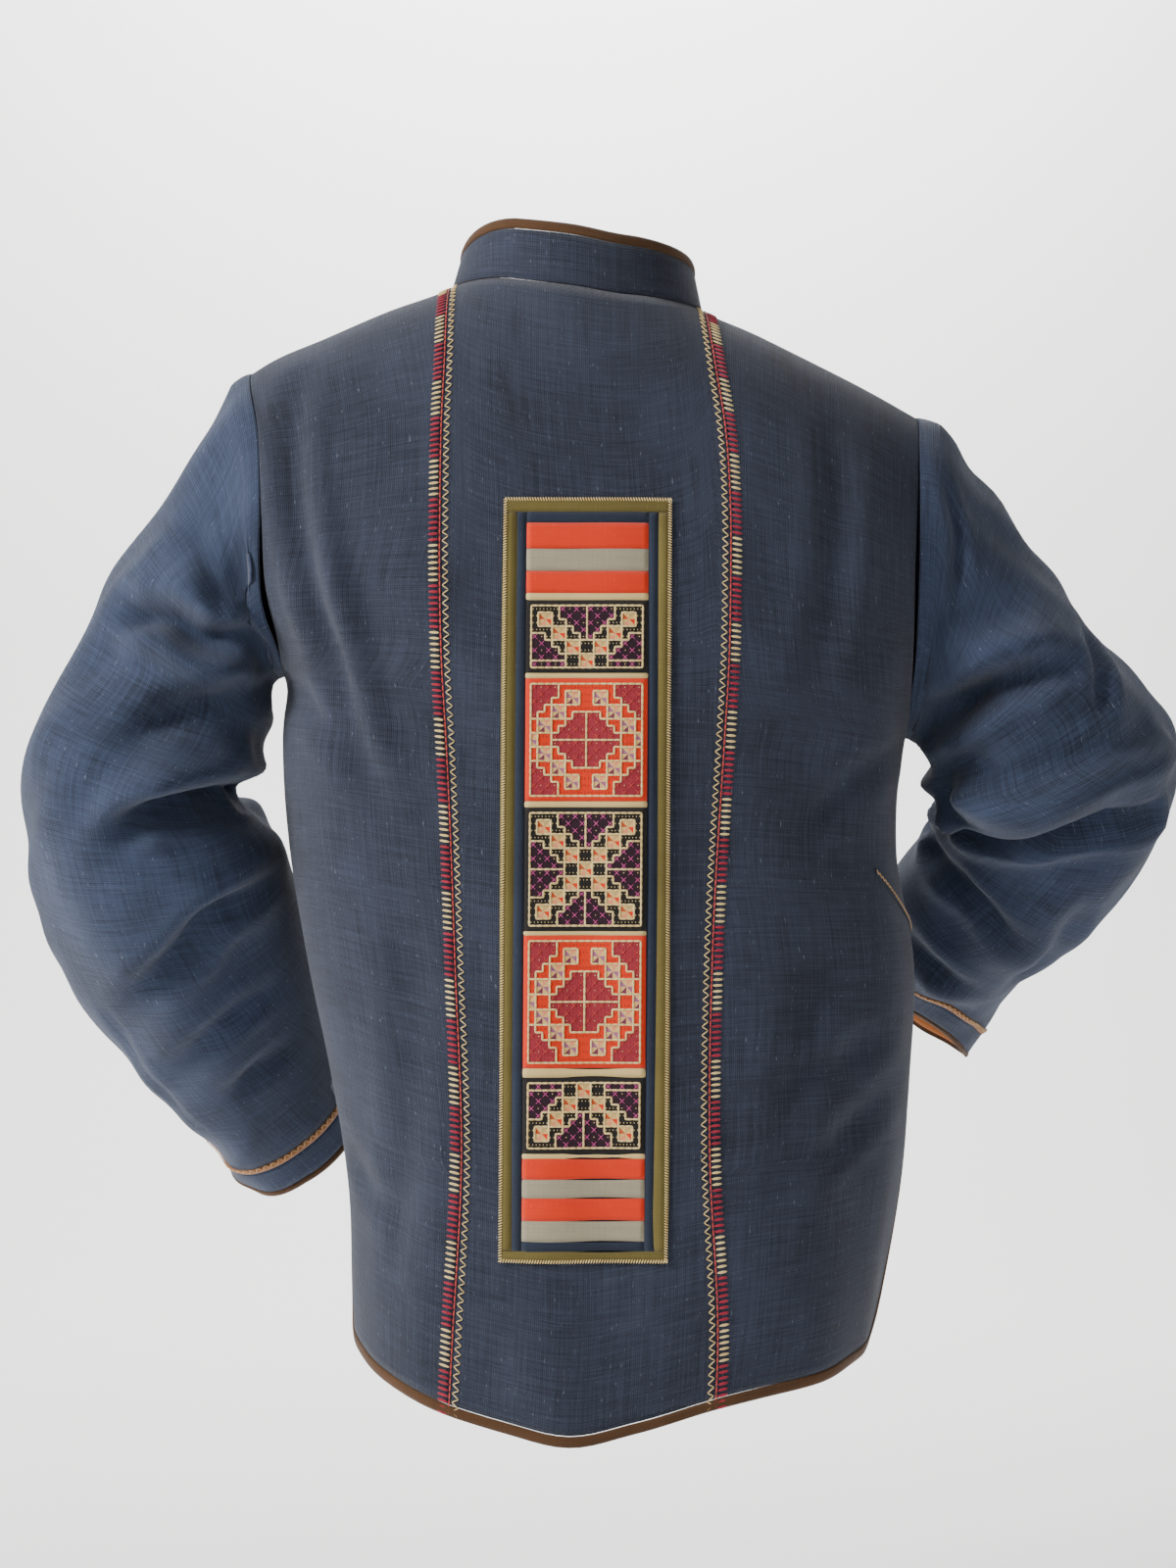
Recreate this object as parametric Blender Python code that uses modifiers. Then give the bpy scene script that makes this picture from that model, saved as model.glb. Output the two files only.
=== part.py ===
"""Hmong embroidered jacket, worn: hollow hemp cloth in its cut pieces, with a stand collar,
set-in sleeves, bound edges and an embroidered patchwork strip down the back.

Metres, +Z up. The origin is the middle of the neck where the collar is sewn on, which is what
the wearer's shoulders carry. The back faces +Y, and the wearer's left side is +X.
All tables are in millimetres, and cloth() turns them to metres.
"""
from collections import namedtuple
from math import pi

import bmesh
import bpy
import numpy as np
from mathutils import Vector

MM = 0.001

# Cloth walls and the seams between them
CLOTH_WALL = 1.6
STRIP_WALL = 1.0
TRIM_WALL = 2.4
TRIM_PROUD = 0.4
SEAM = 0.3
BOUND_SEAM = 1.0
CORNER_SEAM = 1.6
FRONT_SEAM = 0.6
ARMHOLE_SEAM = 1.0
CUFF_SEAM = 1.0
LIFT = 0.5

# Torso, in level slices: half widths to each side, depths behind and in front, squareness
Slice = namedtuple("Slice", "z left right back front power")
TORSO = [
    Slice(-670, 133, 172, 116, 120, 2.4),
    Slice(-600, 135, 186, 115, 122, 2.4),
    Slice(-530, 137, 197, 113, 124, 2.4),
    Slice(-465, 146, 201, 111, 125, 2.5),
    Slice(-400, 159, 202, 109, 125, 2.6),
    Slice(-335, 169, 191, 108, 125, 2.7),
    Slice(-265, 173, 197, 109, 124, 2.8),
    Slice(-228, 172, 208, 110, 122, 2.8),
    Slice(-200, 190, 218, 110, 121, 2.8),
    Slice(-150, 210, 228, 110, 119, 2.8),
    Slice(-60, 226, 238, 108, 114, 2.8),
    Slice(40, 230, 242, 106, 112, 2.8),
]

# Shoulder line across the body, the level where the torso starts to close over it, and the hem
Across = namedtuple("Across", "x crest base hem_back hem_front")
ACROSS = [
    Across(-215, -77, -265, -628, -632),
    Across(-175, -55, -265, -630, -634),
    Across(-139, -37, -260, -636, -638),
    Across(-104, -20, -256, -641, -642),
    Across(-78, -9, -254, -646, -645),
    Across(-35, 18, -250, -658, -649),
    Across(0, 32, -246, -665, -650),
    Across(35, 26, -243, -659, -648),
    Across(74, 5, -239, -648, -644),
    Across(110, -8, -235, -635, -636),
    Across(150, -25, -231, -618, -622),
    Across(181, -38, -228, -618, -622),
    Across(205, -53, -228, -618, -622),
]

# Seams up the body: back and front bands, armholes, and the line where the fronts meet
Seams = namedtuple("Seams", "z band_left band_right arm_left arm_right middle")
SEAMS = [
    Seams(-670, 70, -78, 133, -172, -16),
    Seams(-600, 67, -81, 135, -186, -16),
    Seams(-500, 63, -77, 140, -200, -14),
    Seams(-390, 67, -79, 160, -202, -12),
    Seams(-265, 72, -86, 173, -197, -8),
    Seams(-228, 74, -88, 172, -200, -6),
    Seams(-180, 75, -89, 182, -201, -5),
    Seams(-130, 75, -89, 181, -202, -4),
    Seams(-90, 75, -87, 183, -204, -3),
    Seams(-50, 74, -82, 193, -209, -2),
    Seams(-8, 74, -78, 200, -211, -2),
    Seams(40, 74, -78, 200, -211, -2),
]

# Neck opening and collar
NECK_X = -2
NECK_HALF = 76
NECK_BACK = 65
NECK_FRONT = 62
BINDING = 6.0
FRONT_GAP = 0.6
FRONT_EDGE = FRONT_GAP / 2 + BINDING + BOUND_SEAM
Stand = namedtuple("Stand", "turn height lean")
COLLAR = [
    Stand(-180, 25, 6),
    Stand(-90, 30, 6),
    Stand(-45, 35, 7),
    Stand(0, 37, 7),
    Stand(45, 35, 7),
    Stand(90, 24, 7),
    Stand(180, 25, 6),
]
COLLAR_FOOT = 0.6

# Arch of the shoulders from back to front
ARCH_BACK = 2.5
ARCH_FRONT_SIDE = 2.0
ARCH_FRONT_NECK = 1.45
ARCH_CHANGE = 90.0

# Rows up the body, as shares of the way from the hem to the foot of the arch, with the top of
# the side vents between the fourth and fifth, and the rounding of the hem's corners
BODY_STEPS = (0, 0.11, 0.22, 0.325, 0.34, 0.48, 0.61, 0.74, 0.87, 1)
VENT_STEPS = 3
VENT_CORNER = 22
VENT_TURN = 0.014
BODY_HEIGHT = 405
PANEL_REACH = {1: 125, -1: 165}

# Sleeves: ring centres, the way each ring faces, and its half sizes
Ring = namedtuple("Ring", "along x y z out forward outer inner back front")
SLEEVE_LEFT = [
    Ring(0.00, 184, 0, -140, 80, 0, 88, 88, 62, 62),
    Ring(0.14, 216, 0, -178, 57, 0, 62, 64, 62, 62),
    Ring(0.32, 238, 0, -219, 35, 2, 62, 64, 63, 62),
    Ring(0.52, 265, -2, -300, 8, 16, 68, 70, 64, 62),
    Ring(0.68, 257, -30, -362, -14, 32, 74, 82, 62, 60),
    Ring(0.85, 228, -84, -438, -28, 38, 66, 72, 57, 56),
    Ring(1.00, 197, -133, -502, -33, 38, 53, 54, 50, 50),
]
SLEEVE_RIGHT = [
    Ring(0.00, -204, 0, -168, 84, 0, 97, 97, 62, 62),
    Ring(0.14, -238.5, 0, -203, 65, 0, 71, 72, 62, 62),
    Ring(0.32, -261, 0, -236, 43, 2, 62, 62, 61, 60),
    Ring(0.52, -297, -8, -293, 16, 22, 73, 75, 62, 60),
    Ring(0.68, -290, -52, -342, -24, 42, 50, 64, 58, 56),
    Ring(0.85, -262, -112, -388, -34, 42, 47, 66, 54, 52),
    Ring(1.00, -236, -158, -432, -34, 2, 46, 50, 50, 54),
]
SLEEVE_HEAD = 0.06
SLEEVE_HEAD_OUT = 9.0
SLEEVE_SET = 0.24
UNDERARM = 0.45
SLEEVE_SPLIT = 0.42
SPLIT_GAP = 0.0025
CUFF_FROM = 0.95
CUFF_STRAIGHT = 0.5
CUFF_TRIM = 4.5
CUFF_BAND = 21.0
CUFF_EDGE = 4.0

# Folds big enough to shape the sleeves: place along and round (degrees from the outer side,
# towards the back), reach of each, and how far the cloth stands in (minus) or out
Fold = namedtuple("Fold", "along round reach_along reach_round depth")
FOLDS_LEFT = [
    Fold(0.53, 150, 0.045, 55, -9),
    Fold(0.62, 150, 0.050, 50, 6),
    Fold(0.36, 120, 0.035, 60, -4),
]
FOLDS_RIGHT = [
    Fold(0.58, 150, 0.045, 60, -10),
    Fold(0.47, 140, 0.060, 60, 5),
]

# Pocket mouths, which cross the side seams: height against distance round the side
Mouth = namedtuple("Mouth", "round z")
POCKET = [Mouth(-68, -342), Mouth(-40, -362), Mouth(0, -386), Mouth(45, -418), Mouth(95, -455)]
POCKET_WIDTH = 5.0
POCKET_LIFT = 1.2
POCKET_STEPS = 20
POCKET_COLUMNS = (0, 0.4, 1)
POCKET_ROUND = {1: (4, 40, 95), -1: (-68, 0, 95)}

# Embroidered strip down the back: its middle line, width, top, and its pieces from the top down
STRIP_TOP = -132
STRIP_MIDDLE_TOP = -8.5
STRIP_MIDDLE_FOOT = -5.5
STRIP_WIDTH = 94.0
OLIVE = 7.0
NAVY = 5.5
Piece = namedtuple("Piece", "name height material")
STRIP = [
    Piece("olive_top", 7.6, "olive_cotton"),
    Piece("navy_top", 6.2, "navy_cotton"),
    Piece("orange_1", 14.8, "orange_cotton"),
    Piece("grey_1", 12.6, "grey_cotton"),
    Piece("orange_2", 12.6, "orange_cotton"),
    Piece("piping_1", 3.9, "cream_cotton"),
    Piece("motif_1", 41.2, "black_cotton"),
    Piece("piping_2", 2.8, "cream_cotton"),
    Piece("motif_2", 69.4, "orange_cotton"),
    Piece("piping_3", 3.3, "cream_cotton"),
    Piece("motif_3", 69.9, "black_cotton"),
    Piece("piping_4", 2.3, "cream_cotton"),
    Piece("motif_4", 74.8, "orange_cotton"),
    Piece("piping_5", 5.0, "cream_cotton"),
    Piece("motif_5", 42.9, "black_cotton"),
    Piece("piping_6", 2.8, "cream_cotton"),
    Piece("orange_3", 11.6, "orange_cotton"),
    Piece("grey_2", 10.5, "grey_cotton"),
    Piece("orange_4", 12.7, "orange_cotton"),
    Piece("grey_3", 11.6, "grey_cotton"),
    Piece("navy_foot", 5.5, "navy_cotton"),
    Piece("olive_foot", 6.0, "olive_cotton"),
]

# Buttons and their loops on the fronts, which show nowhere else
BUTTON_HEIGHTS = [-80, -190, -300, -410, -520]
BUTTON_RADIUS = 5.0
BUTTON_FLAT = 0.8
LOOP_RADIUS = 7.2
LOOP_CORD = 1.1

# Finishes: colour, roughness
FINISHES = {
    "indigo_hemp": ((0.035, 0.045, 0.085), 0.92),
    "brown_binding": ((0.14, 0.070, 0.030), 0.80),
    "copper_trim": ((0.33, 0.15, 0.05), 0.75),
    "orange_facing": ((0.47, 0.14, 0.035), 0.85),
    "olive_cotton": ((0.25, 0.17, 0.055), 0.85),
    "navy_cotton": ((0.040, 0.050, 0.10), 0.85),
    "orange_cotton": ((0.80, 0.08, 0.025), 0.80),
    "grey_cotton": ((0.46, 0.42, 0.32), 0.85),
    "cream_cotton": ((0.88, 0.74, 0.40), 0.85),
    "black_cotton": ((0.012, 0.010, 0.008), 0.85),
}

# Segments
BODY_ROWS = len(BODY_STEPS) - 1
ARCH_ROWS = 8
ARCH_CROWD = 1.5
SIDE_COLUMNS = 6
SIDE_CROWD = 1.3
BACK_COLUMNS = 8
FRONT_COLUMNS = 4
SLEEVE_ROWS = 16


def curve(keys, values, at):
    """A smooth curve through a table's column, level past its ends."""
    keys = np.asarray(keys, float)
    values = np.asarray(values, float)
    slope = np.gradient(values, keys)
    at = np.clip(at, keys[0], keys[-1])
    i = np.clip(np.searchsorted(keys, at, side="right") - 1, 0, len(keys) - 2)
    step = keys[i + 1] - keys[i]
    f = (at - keys[i]) / step
    start = (1 + 2 * f) * (1 - f) ** 2 * values[i] + f * (1 - f) ** 2 * step * slope[i]
    end = f * f * (3 - 2 * f) * values[i + 1] - f * f * (1 - f) * step * slope[i + 1]
    return start + end


def read(table, column, at):
    """Reads one column of a table against its first column."""
    return curve([row[0] for row in table], [getattr(row, column) for row in table], at)


def blend(a, b, f):
    return a + (b - a) * f


def half_width(side, z):
    return read(TORSO, "left" if side > 0 else "right", z)


def arch_power(x, face):
    """Squareness of the shoulders' arch, which is sharper by the front of the neck."""
    if face > 0:
        return ARCH_BACK + 0 * x
    return blend(ARCH_FRONT_NECK, ARCH_FRONT_SIDE, np.clip(np.abs(x) / ARCH_CHANGE, 0, 1) ** 2)


def torso_at(x, turn_cos, z, face, arch):
    """The skin's point at x: turn_cos is the slice's depth there, arch its lean over the top."""
    depth = read(TORSO, "back" if face > 0 else "front", z)
    y = face * depth * turn_cos * np.cos(arch) ** (2 / arch_power(x, face))
    return np.stack([x, y, z], -1)


def height_at(x, row, face, lifted=0.0):
    """Height at x of a row: 0 is the hem, 1 the foot of the arch, 2 the shoulder line."""
    base = read(ACROSS, "base", x)
    hem = read(ACROSS, "hem_back" if face > 0 else "hem_front", x) + lifted
    arch = np.clip(row - 1, 0, 1) ** ARCH_CROWD * pi / 2
    low = blend(hem, base, np.clip(row, 0, 1))
    rise = np.sin(arch) ** (2 / arch_power(x, face))
    high = base + (read(ACROSS, "crest", x) - base) * rise
    return np.where(row <= 1, low, high), arch


def side_skin(side, face, across, row, lifted=0.0, inset=0.0):
    """Side panel: across runs from the band (0) to the side seam or armhole (1)."""
    band_name = "band_left" if side > 0 else "band_right"
    arm_name = "arm_left" if side > 0 else "arm_right"
    x = side * (120 + 0 * across)
    for _ in range(12):
        z, arch = height_at(x, row, face, lifted)
        width = half_width(side, z)
        power = read(TORSO, "power", z)
        band = np.clip((np.abs(read(SEAMS, band_name, z)) + SEAM / 2) / width, 0, 1)
        arm = np.clip(np.abs(read(SEAMS, arm_name, z)) / width, 0, 1)
        arm = np.where(row > 1, arm, 1.0)
        start = np.arcsin(band ** (power / 2))
        end = np.arcsin(arm ** (power / 2)) - (inset + SEAM / 2) / 90 * (row <= 1)
        turn = blend(start, end, across)
        x = side * width * np.sin(turn) ** (2 / power)
    return torso_at(x, np.cos(turn) ** (2 / power), z, face, arch)


def plain_skin(x, row, face):
    """The body's skin at x, away from the sides."""
    z, arch = height_at(x, row, face)
    side = np.sign(x)
    width = np.where(side >= 0, half_width(1, z), half_width(-1, z))
    power = read(TORSO, "power", z)
    turn_cos = (1 - (np.abs(x) / width) ** power) ** (1 / power)
    return torso_at(x, turn_cos, z, face, arch)


def neck_row(x, face):
    """The row where the neck opening cuts the body at x."""
    reach = NECK_BACK if face > 0 else NECK_FRONT
    ring = reach * np.sqrt(np.clip(1 - ((x - NECK_X) / NECK_HALF) ** 2, 0, 1))
    low, high = 1 + 0 * x, 2 + 0 * x
    for _ in range(30):
        row = (low + high) / 2
        outside = np.abs(plain_skin(x, row, face)[..., 1]) > ring
        low = np.where(outside, row, low)
        high = np.where(outside, high, row)
    return row


def middle_skin(left, right, face, across, row):
    """A panel between two seams up the body: row 2 is the neck opening."""
    z = -300 + 0 * row
    for _ in range(14):
        x = blend(edge_x(left, z), edge_x(right, z), across)
        z, _arch = height_at(x, row, face)
    top = neck_row(x, face)
    arch_row = np.where(row > 1, 1 + (row - 1) * (top - 1), row)
    return plain_skin(x, arch_row, face)


def edge_x(edge, z):
    """A seam's x at a height, from its column and its shift."""
    column, shift = edge
    return read(SEAMS, column, z) + shift


def strip_skin(x, z):
    """The back at x and z, found by halving between the hem and the shoulder."""
    low, high = 0 * x, 2 + 0 * x
    for _ in range(26):
        row = (low + high) / 2
        below = plain_skin(x, row, 1)[..., 2] < z
        low = np.where(below, row, low)
        high = np.where(below, high, row)
    return plain_skin(x, row, 1)


def neck_ring(turn):
    """The neck opening's edge: turn is 0 at the back, 90 degrees at the wearer's left."""
    x = NECK_X + NECK_HALF * np.sin(turn)
    back = plain_skin(x, neck_row(x, 1), 1)
    front = plain_skin(x, neck_row(x, -1), -1)
    return np.where((np.cos(turn) >= 0)[..., None], back, front)


def collar_skin(turn, up):
    """The collar's wall: up is in mm from its seam."""
    foot = neck_ring(turn)
    degrees = np.degrees(turn)
    height = read(COLLAR, "height", degrees)
    lean = read(COLLAR, "lean", degrees) * up / height
    rise = np.sqrt(np.maximum(up ** 2 - lean ** 2, 0)) * np.sign(up)
    offset = np.stack([-np.sin(turn) * lean, -np.cos(turn) * lean, rise + COLLAR_FOOT], -1)
    return foot + offset


def armhole(side, round_part):
    """The armhole's edge from the underarm (0) up the back (0.5 at the top) to the front (1)."""
    back = np.clip(round_part * 2, 0, 1)
    front = np.clip(2 - round_part * 2, 0, 1)
    behind = side_skin(side, 1, 1 + 0 * back, 1 + np.maximum(back, 1e-6))
    ahead = side_skin(side, -1, 1 + 0 * front, 1 + np.maximum(front, 1e-6))
    loop = np.where((round_part <= 0.5)[..., None], behind, ahead)
    under = np.clip(1 - np.minimum(back, front) / UNDERARM, 0, 1)
    under = under * under * (3 - 2 * under)
    way = np.stack([side + 0 * under, 0 * under, under], -1)
    way /= np.linalg.norm(way, axis=-1, keepdims=True)
    return loop + way * ARMHOLE_SEAM


def sleeve_ring(side, along, round_part):
    """A ring of the sleeve before its folds: round_part as on the armhole."""
    table = SLEEVE_LEFT if side > 0 else SLEEVE_RIGHT
    centre = np.stack([read(table, name, along) for name in ("x", "y", "z")], -1)
    out = np.radians(read(table, "out", along))
    forward = np.radians(read(table, "forward", along))
    facing = np.stack([side * np.sin(out) * np.cos(forward), -np.sin(forward),
                       -np.cos(out) * np.cos(forward)], -1)
    behind = np.array([0.0, 1.0, 0.0]) - facing * facing[..., 1:2]
    behind /= np.linalg.norm(behind, axis=-1, keepdims=True)
    outward = side * np.cross(facing, behind)
    angle = pi - 2 * pi * round_part
    cos, sin = np.cos(angle), np.sin(angle)
    outer = np.where(cos > 0, read(table, "outer", along), read(table, "inner", along))
    depth = np.where(sin > 0, read(table, "back", along), read(table, "front", along))
    offset = outward * (outer * cos)[..., None] + behind * (depth * sin)[..., None]
    return centre + offset, offset


def sleeve_skin(side, along, round_part):
    """The sleeve's outer skin, from the armhole (0) to the cuff's trim (1)."""
    ring, offset = sleeve_ring(side, np.maximum(along, SLEEVE_HEAD), round_part)
    away = np.clip(along, 0, SLEEVE_HEAD) / SLEEVE_HEAD * SLEEVE_HEAD_OUT
    start = armhole(side, round_part) + np.array([side, 0, 0]) * away[..., None]
    share = np.clip(along / SLEEVE_SET, 0, 1)
    share = (share * share * (3 - 2 * share))[..., None]
    point = blend(start, ring, share)
    inward = -offset / np.linalg.norm(offset, axis=-1, keepdims=True)
    degrees = 180 - 360 * round_part
    depth = 0 * along
    for fold in FOLDS_LEFT if side > 0 else FOLDS_RIGHT:
        near = np.exp(-((along - fold.along) / fold.reach_along) ** 2)
        gap = (degrees - fold.round + 180) % 360 - 180
        depth = depth - fold.depth * near * np.exp(-(gap / fold.reach_round) ** 2)
    return point + inward * depth[..., None]


def cuff_skin(side, down, round_part):
    """The cuff, which runs on straight from the sleeve: down is in mm from the sleeve's end."""
    table = SLEEVE_LEFT if side > 0 else SLEEVE_RIGHT
    end = sleeve_skin(side, 1 + 0 * round_part, round_part)
    before = sleeve_skin(side, CUFF_FROM + 0 * round_part, round_part)
    straight = [read(table, name, 1) - read(table, name, CUFF_FROM) for name in ("x", "y", "z")]
    way = (end - before) / np.linalg.norm(end - before, axis=-1, keepdims=True)
    way = blend(way, straight / np.linalg.norm(straight), CUFF_STRAIGHT)
    way /= np.linalg.norm(way, axis=-1, keepdims=True)
    return end + way * down[..., None]


def new_material(name):
    colour, roughness = FINISHES[name]
    material = bpy.data.materials.new(name)
    material.use_nodes = True
    surface = material.node_tree.nodes["Principled BSDF"]
    surface.inputs["Base Color"].default_value = (*colour, 1)
    surface.inputs["Roughness"].default_value = roughness
    surface.inputs["Metallic"].default_value = 0
    return material


def cloth(name, material, skin, columns, rows, wall=CLOTH_WALL, proud=0.0, joined=False):
    """A wall of cloth on skin(u, v), a grid with u and v from 0 to 1, thickened inwards.

    proud moves the outer face out; joined closes u round into a tube.
    """
    sheet = bmesh.new()
    bmesh.ops.create_grid(sheet, x_segments=columns, y_segments=rows, size=0.5)
    sheet.verts.ensure_lookup_table()
    places = np.array([vertex.co[:2] for vertex in sheet.verts]) + 0.5
    points = skin(places[:, 0], places[:, 1]) * MM
    for vertex, point in zip(sheet.verts, points):
        vertex.co = point
    if joined:
        bmesh.ops.remove_doubles(sheet, verts=sheet.verts, dist=1e-6)
    mesh = bpy.data.meshes.new(name)
    sheet.to_mesh(mesh)
    sheet.free()
    piece = bpy.data.objects.new(name, mesh)
    parts.objects.link(piece)
    mesh.materials.append(materials[material])
    solid = piece.modifiers.new("wall", "SOLIDIFY")
    solid.thickness = wall * MM
    solid.offset = -1 + 2 * proud / wall
    return piece


def out_from(skin, distance):
    """Moves a skin's points out along its faces, so that one piece lies on another."""
    step = 0.01

    def moved(u, v):
        point = skin(u, v)
        across = skin(u + step, v) - skin(u - step, v)
        along = skin(u, v + step) - skin(u, v - step)
        normal = np.cross(across, along)
        return point + normal / np.linalg.norm(normal, axis=-1, keepdims=True) * distance

    return moved


def body_rows(v):
    """Row numbers up the back, over the shoulder and down the front, for v from 0 to 1."""
    turn = BODY_ROWS + ARCH_ROWS
    place = v * 2 * turn
    up = np.where(place <= turn, place, 2 * turn - place)
    low = np.interp(up, range(BODY_ROWS + 1), BODY_STEPS)
    row = np.where(up <= BODY_ROWS, low, 1 + (up - BODY_ROWS) / ARCH_ROWS)
    return row, place <= turn


def crowd(across):
    """Brings a side panel's columns closer together towards its outer edge."""
    return 1 - (1 - across) ** SIDE_CROWD


def corner_lift(side, across):
    """Rounds the hem's corner at the vent."""
    away = VENT_CORNER - np.clip((1 - across) * PANEL_REACH[side], 0, VENT_CORNER)
    return VENT_CORNER - np.sqrt(VENT_CORNER ** 2 - away ** 2)


def side_panel(side):
    room = BINDING + BOUND_SEAM

    def skin(u, v):
        across = crowd(1 - u if side > 0 else u)
        row, behind = body_rows(v)
        lifted = corner_lift(side, across) + room
        inset = np.where(row < (BODY_STEPS[3] + BODY_STEPS[4]) / 2, room, 0.0)
        back = side_skin(side, 1, across, row, lifted, inset)
        front = side_skin(side, -1, across, row, lifted, inset)
        return np.where(behind[..., None], back, front)

    name = "side_left" if side > 0 else "side_right"
    cloth(name, "indigo_hemp", skin, SIDE_COLUMNS, 2 * (BODY_ROWS + ARCH_ROWS))


def lifted_hem(row, room=BINDING + BOUND_SEAM):
    """Moves a middle panel's lowest rows up to leave room for the binding."""
    return row + room / BODY_HEIGHT * np.clip(1 - row, 0, 1)


def back_across(u):
    """Spaces the back's columns evenly round the neck."""
    return (1 - np.cos(pi * u)) / 2


def front_across(part):
    """Spaces a front's columns evenly round the neck, from the band (0) to its edge (1)."""
    edge = FRONT_EDGE / NECK_HALF
    turn = blend(pi / 2, pi - np.arcsin(edge), part)
    return (1 - np.sin(turn)) / (1 - edge)


def back_centre():
    left, right = ("band_left", -SEAM / 2), ("band_right", SEAM / 2)

    def skin(u, v):
        row, _behind = body_rows(v / 2)
        return middle_skin(left, right, 1, back_across(u), lifted_hem(row))

    cloth("back_centre", "indigo_hemp", skin, BACK_COLUMNS, BODY_ROWS + ARCH_ROWS)


def front_skin(side, part, row, edge=FRONT_EDGE):
    """A front, from its band (0) to its edge at the middle (1)."""
    band = ("band_left", -FRONT_SEAM) if side > 0 else ("band_right", FRONT_SEAM)
    return middle_skin(band, ("middle", side * edge), -1, front_across(part), row)


def front_panels():
    for side, name in ((1, "front_left"), (-1, "front_right")):
        def skin(u, v, side=side):
            row, _behind = body_rows(0.5 - v / 2)
            low = lifted_hem(row, BINDING + CORNER_SEAM)
            return front_skin(side, u if side > 0 else 1 - u, low)

        cloth(name, "indigo_hemp", skin, FRONT_COLUMNS, BODY_ROWS + ARCH_ROWS)


def side_edge(side, face, step, out):
    """The bound edge of a side panel: step counts the vent's rows, then the hem's columns.

    out is how far across the binding a point lies, from the panel (0) to its edge (1).
    """
    rows = (BODY_STEPS[VENT_STEPS] - VENT_TURN, *BODY_STEPS[VENT_STEPS - 1::-1])
    row = np.interp(step, range(VENT_STEPS + 1), rows)
    across = crowd(1 - np.clip(step - VENT_STEPS, 0, SIDE_COLUMNS) / SIDE_COLUMNS)
    away = 1 - np.clip((1 - across) * PANEL_REACH[side] / VENT_CORNER, 0, 1)
    sideways = np.where(row > 0, 1.0, away)
    down = np.sqrt(1 - sideways ** 2)
    inset = BINDING * (1 - out * sideways)
    lifted = corner_lift(side, across) + BINDING * (1 - out * down)
    return side_skin(side, face, across, row, lifted, inset)


def back_binding():
    run = VENT_STEPS + SIDE_COLUMNS
    total = 2 * run + BACK_COLUMNS
    left, right = ("band_left", -SEAM / 2), ("band_right", SEAM / 2)

    def skin(u, v):
        step = u * total
        out = 1 - v
        first = side_edge(1, 1, np.minimum(step, run), out)
        last = side_edge(-1, 1, np.minimum(total - step, run), out)
        across = back_across(np.clip((step - run) / BACK_COLUMNS, 0, 1))
        middle = middle_skin(left, right, 1, across, lifted_hem(0 * u, BINDING * (1 - out)))
        point = np.where((step <= run + 0.01)[..., None], first, middle)
        return np.where((step >= total - run - 0.01)[..., None], last, point)

    cloth("hem_binding_back", "brown_binding", skin, total, 1, TRIM_WALL, TRIM_PROUD)


def front_bindings():
    """Each front's binding: down its vent, along its hem and up its edge to the collar."""
    run = VENT_STEPS + SIDE_COLUMNS
    rise = BODY_ROWS + ARCH_ROWS
    total = run + FRONT_COLUMNS + rise
    for side, name in ((1, "left"), (-1, "right")):
        def skin(u, v, side=side):
            step = (u if side > 0 else 1 - u) * total
            vent = side_edge(side, -1, np.minimum(step, run), v)
            part = np.clip((step - run) / FRONT_COLUMNS, 0, 1)
            edge = FRONT_EDGE - (BOUND_SEAM + BINDING * v) * (part > 0.99)
            row, _behind = body_rows(np.clip(step - run - FRONT_COLUMNS, 0, rise) / rise / 2)
            at_hem = lifted_hem(0 * u, BINDING * (1 - v))
            row = np.where(row > 0, lifted_hem(row), at_hem)
            front = front_skin(side, part, row, edge)
            return np.where((step <= run + 0.01)[..., None], vent, front)

        cloth(f"front_binding_{name}", "brown_binding", skin, total, 1, TRIM_WALL, TRIM_PROUD)


def sleeves():
    around = 2 * ARCH_ROWS
    trim_end = CUFF_SEAM + CUFF_TRIM
    cuff_end = trim_end + CUFF_SEAM + CUFF_BAND
    for side, name in ((1, "left"), (-1, "right")):
        def length(start, end, side=side):
            def skin(u, v):
                return sleeve_skin(side, blend(start, end, v), u if side > 0 else 1 - u)
            return skin

        def band(start, end, side=side):
            def skin(u, v):
                return cuff_skin(side, blend(start, end, v), u if side > 0 else 1 - u)
            return skin

        cloth(f"sleeve_{name}_upper", "indigo_hemp", length(0, SLEEVE_SPLIT - SPLIT_GAP),
              around, SLEEVE_ROWS // 2, joined=True)
        cloth(f"sleeve_{name}_lower", "indigo_hemp", length(SLEEVE_SPLIT + SPLIT_GAP, 1),
              around, SLEEVE_ROWS // 2, joined=True)
        cloth(f"cuff_trim_{name}", "copper_trim", band(CUFF_SEAM, trim_end), around, 1,
              TRIM_WALL, TRIM_PROUD, True)
        cloth(f"cuff_{name}", "indigo_hemp", band(trim_end + CUFF_SEAM, cuff_end), around, 1,
              joined=True)
        cloth(f"cuff_binding_{name}", "brown_binding",
              band(cuff_end + CUFF_SEAM, cuff_end + CUFF_SEAM + CUFF_EDGE), around, 1,
              TRIM_WALL, TRIM_PROUD, True)
        cloth(f"cuff_facing_{name}", "orange_facing",
              band(trim_end + CUFF_SEAM, cuff_end - CUFF_SEAM), around, 1, STRIP_WALL,
              -CLOTH_WALL - LIFT, True)


def collar_turn(step):
    """Spaces points round the collar as the panels' columns are: step 0 is the left front."""
    end = pi - np.arcsin(FRONT_EDGE / NECK_HALF)
    stops = [0, FRONT_COLUMNS, FRONT_COLUMNS + BACK_COLUMNS, 2 * FRONT_COLUMNS + BACK_COLUMNS]
    return np.interp(step, stops, [end, pi / 2, -pi / 2, -end])


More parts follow.
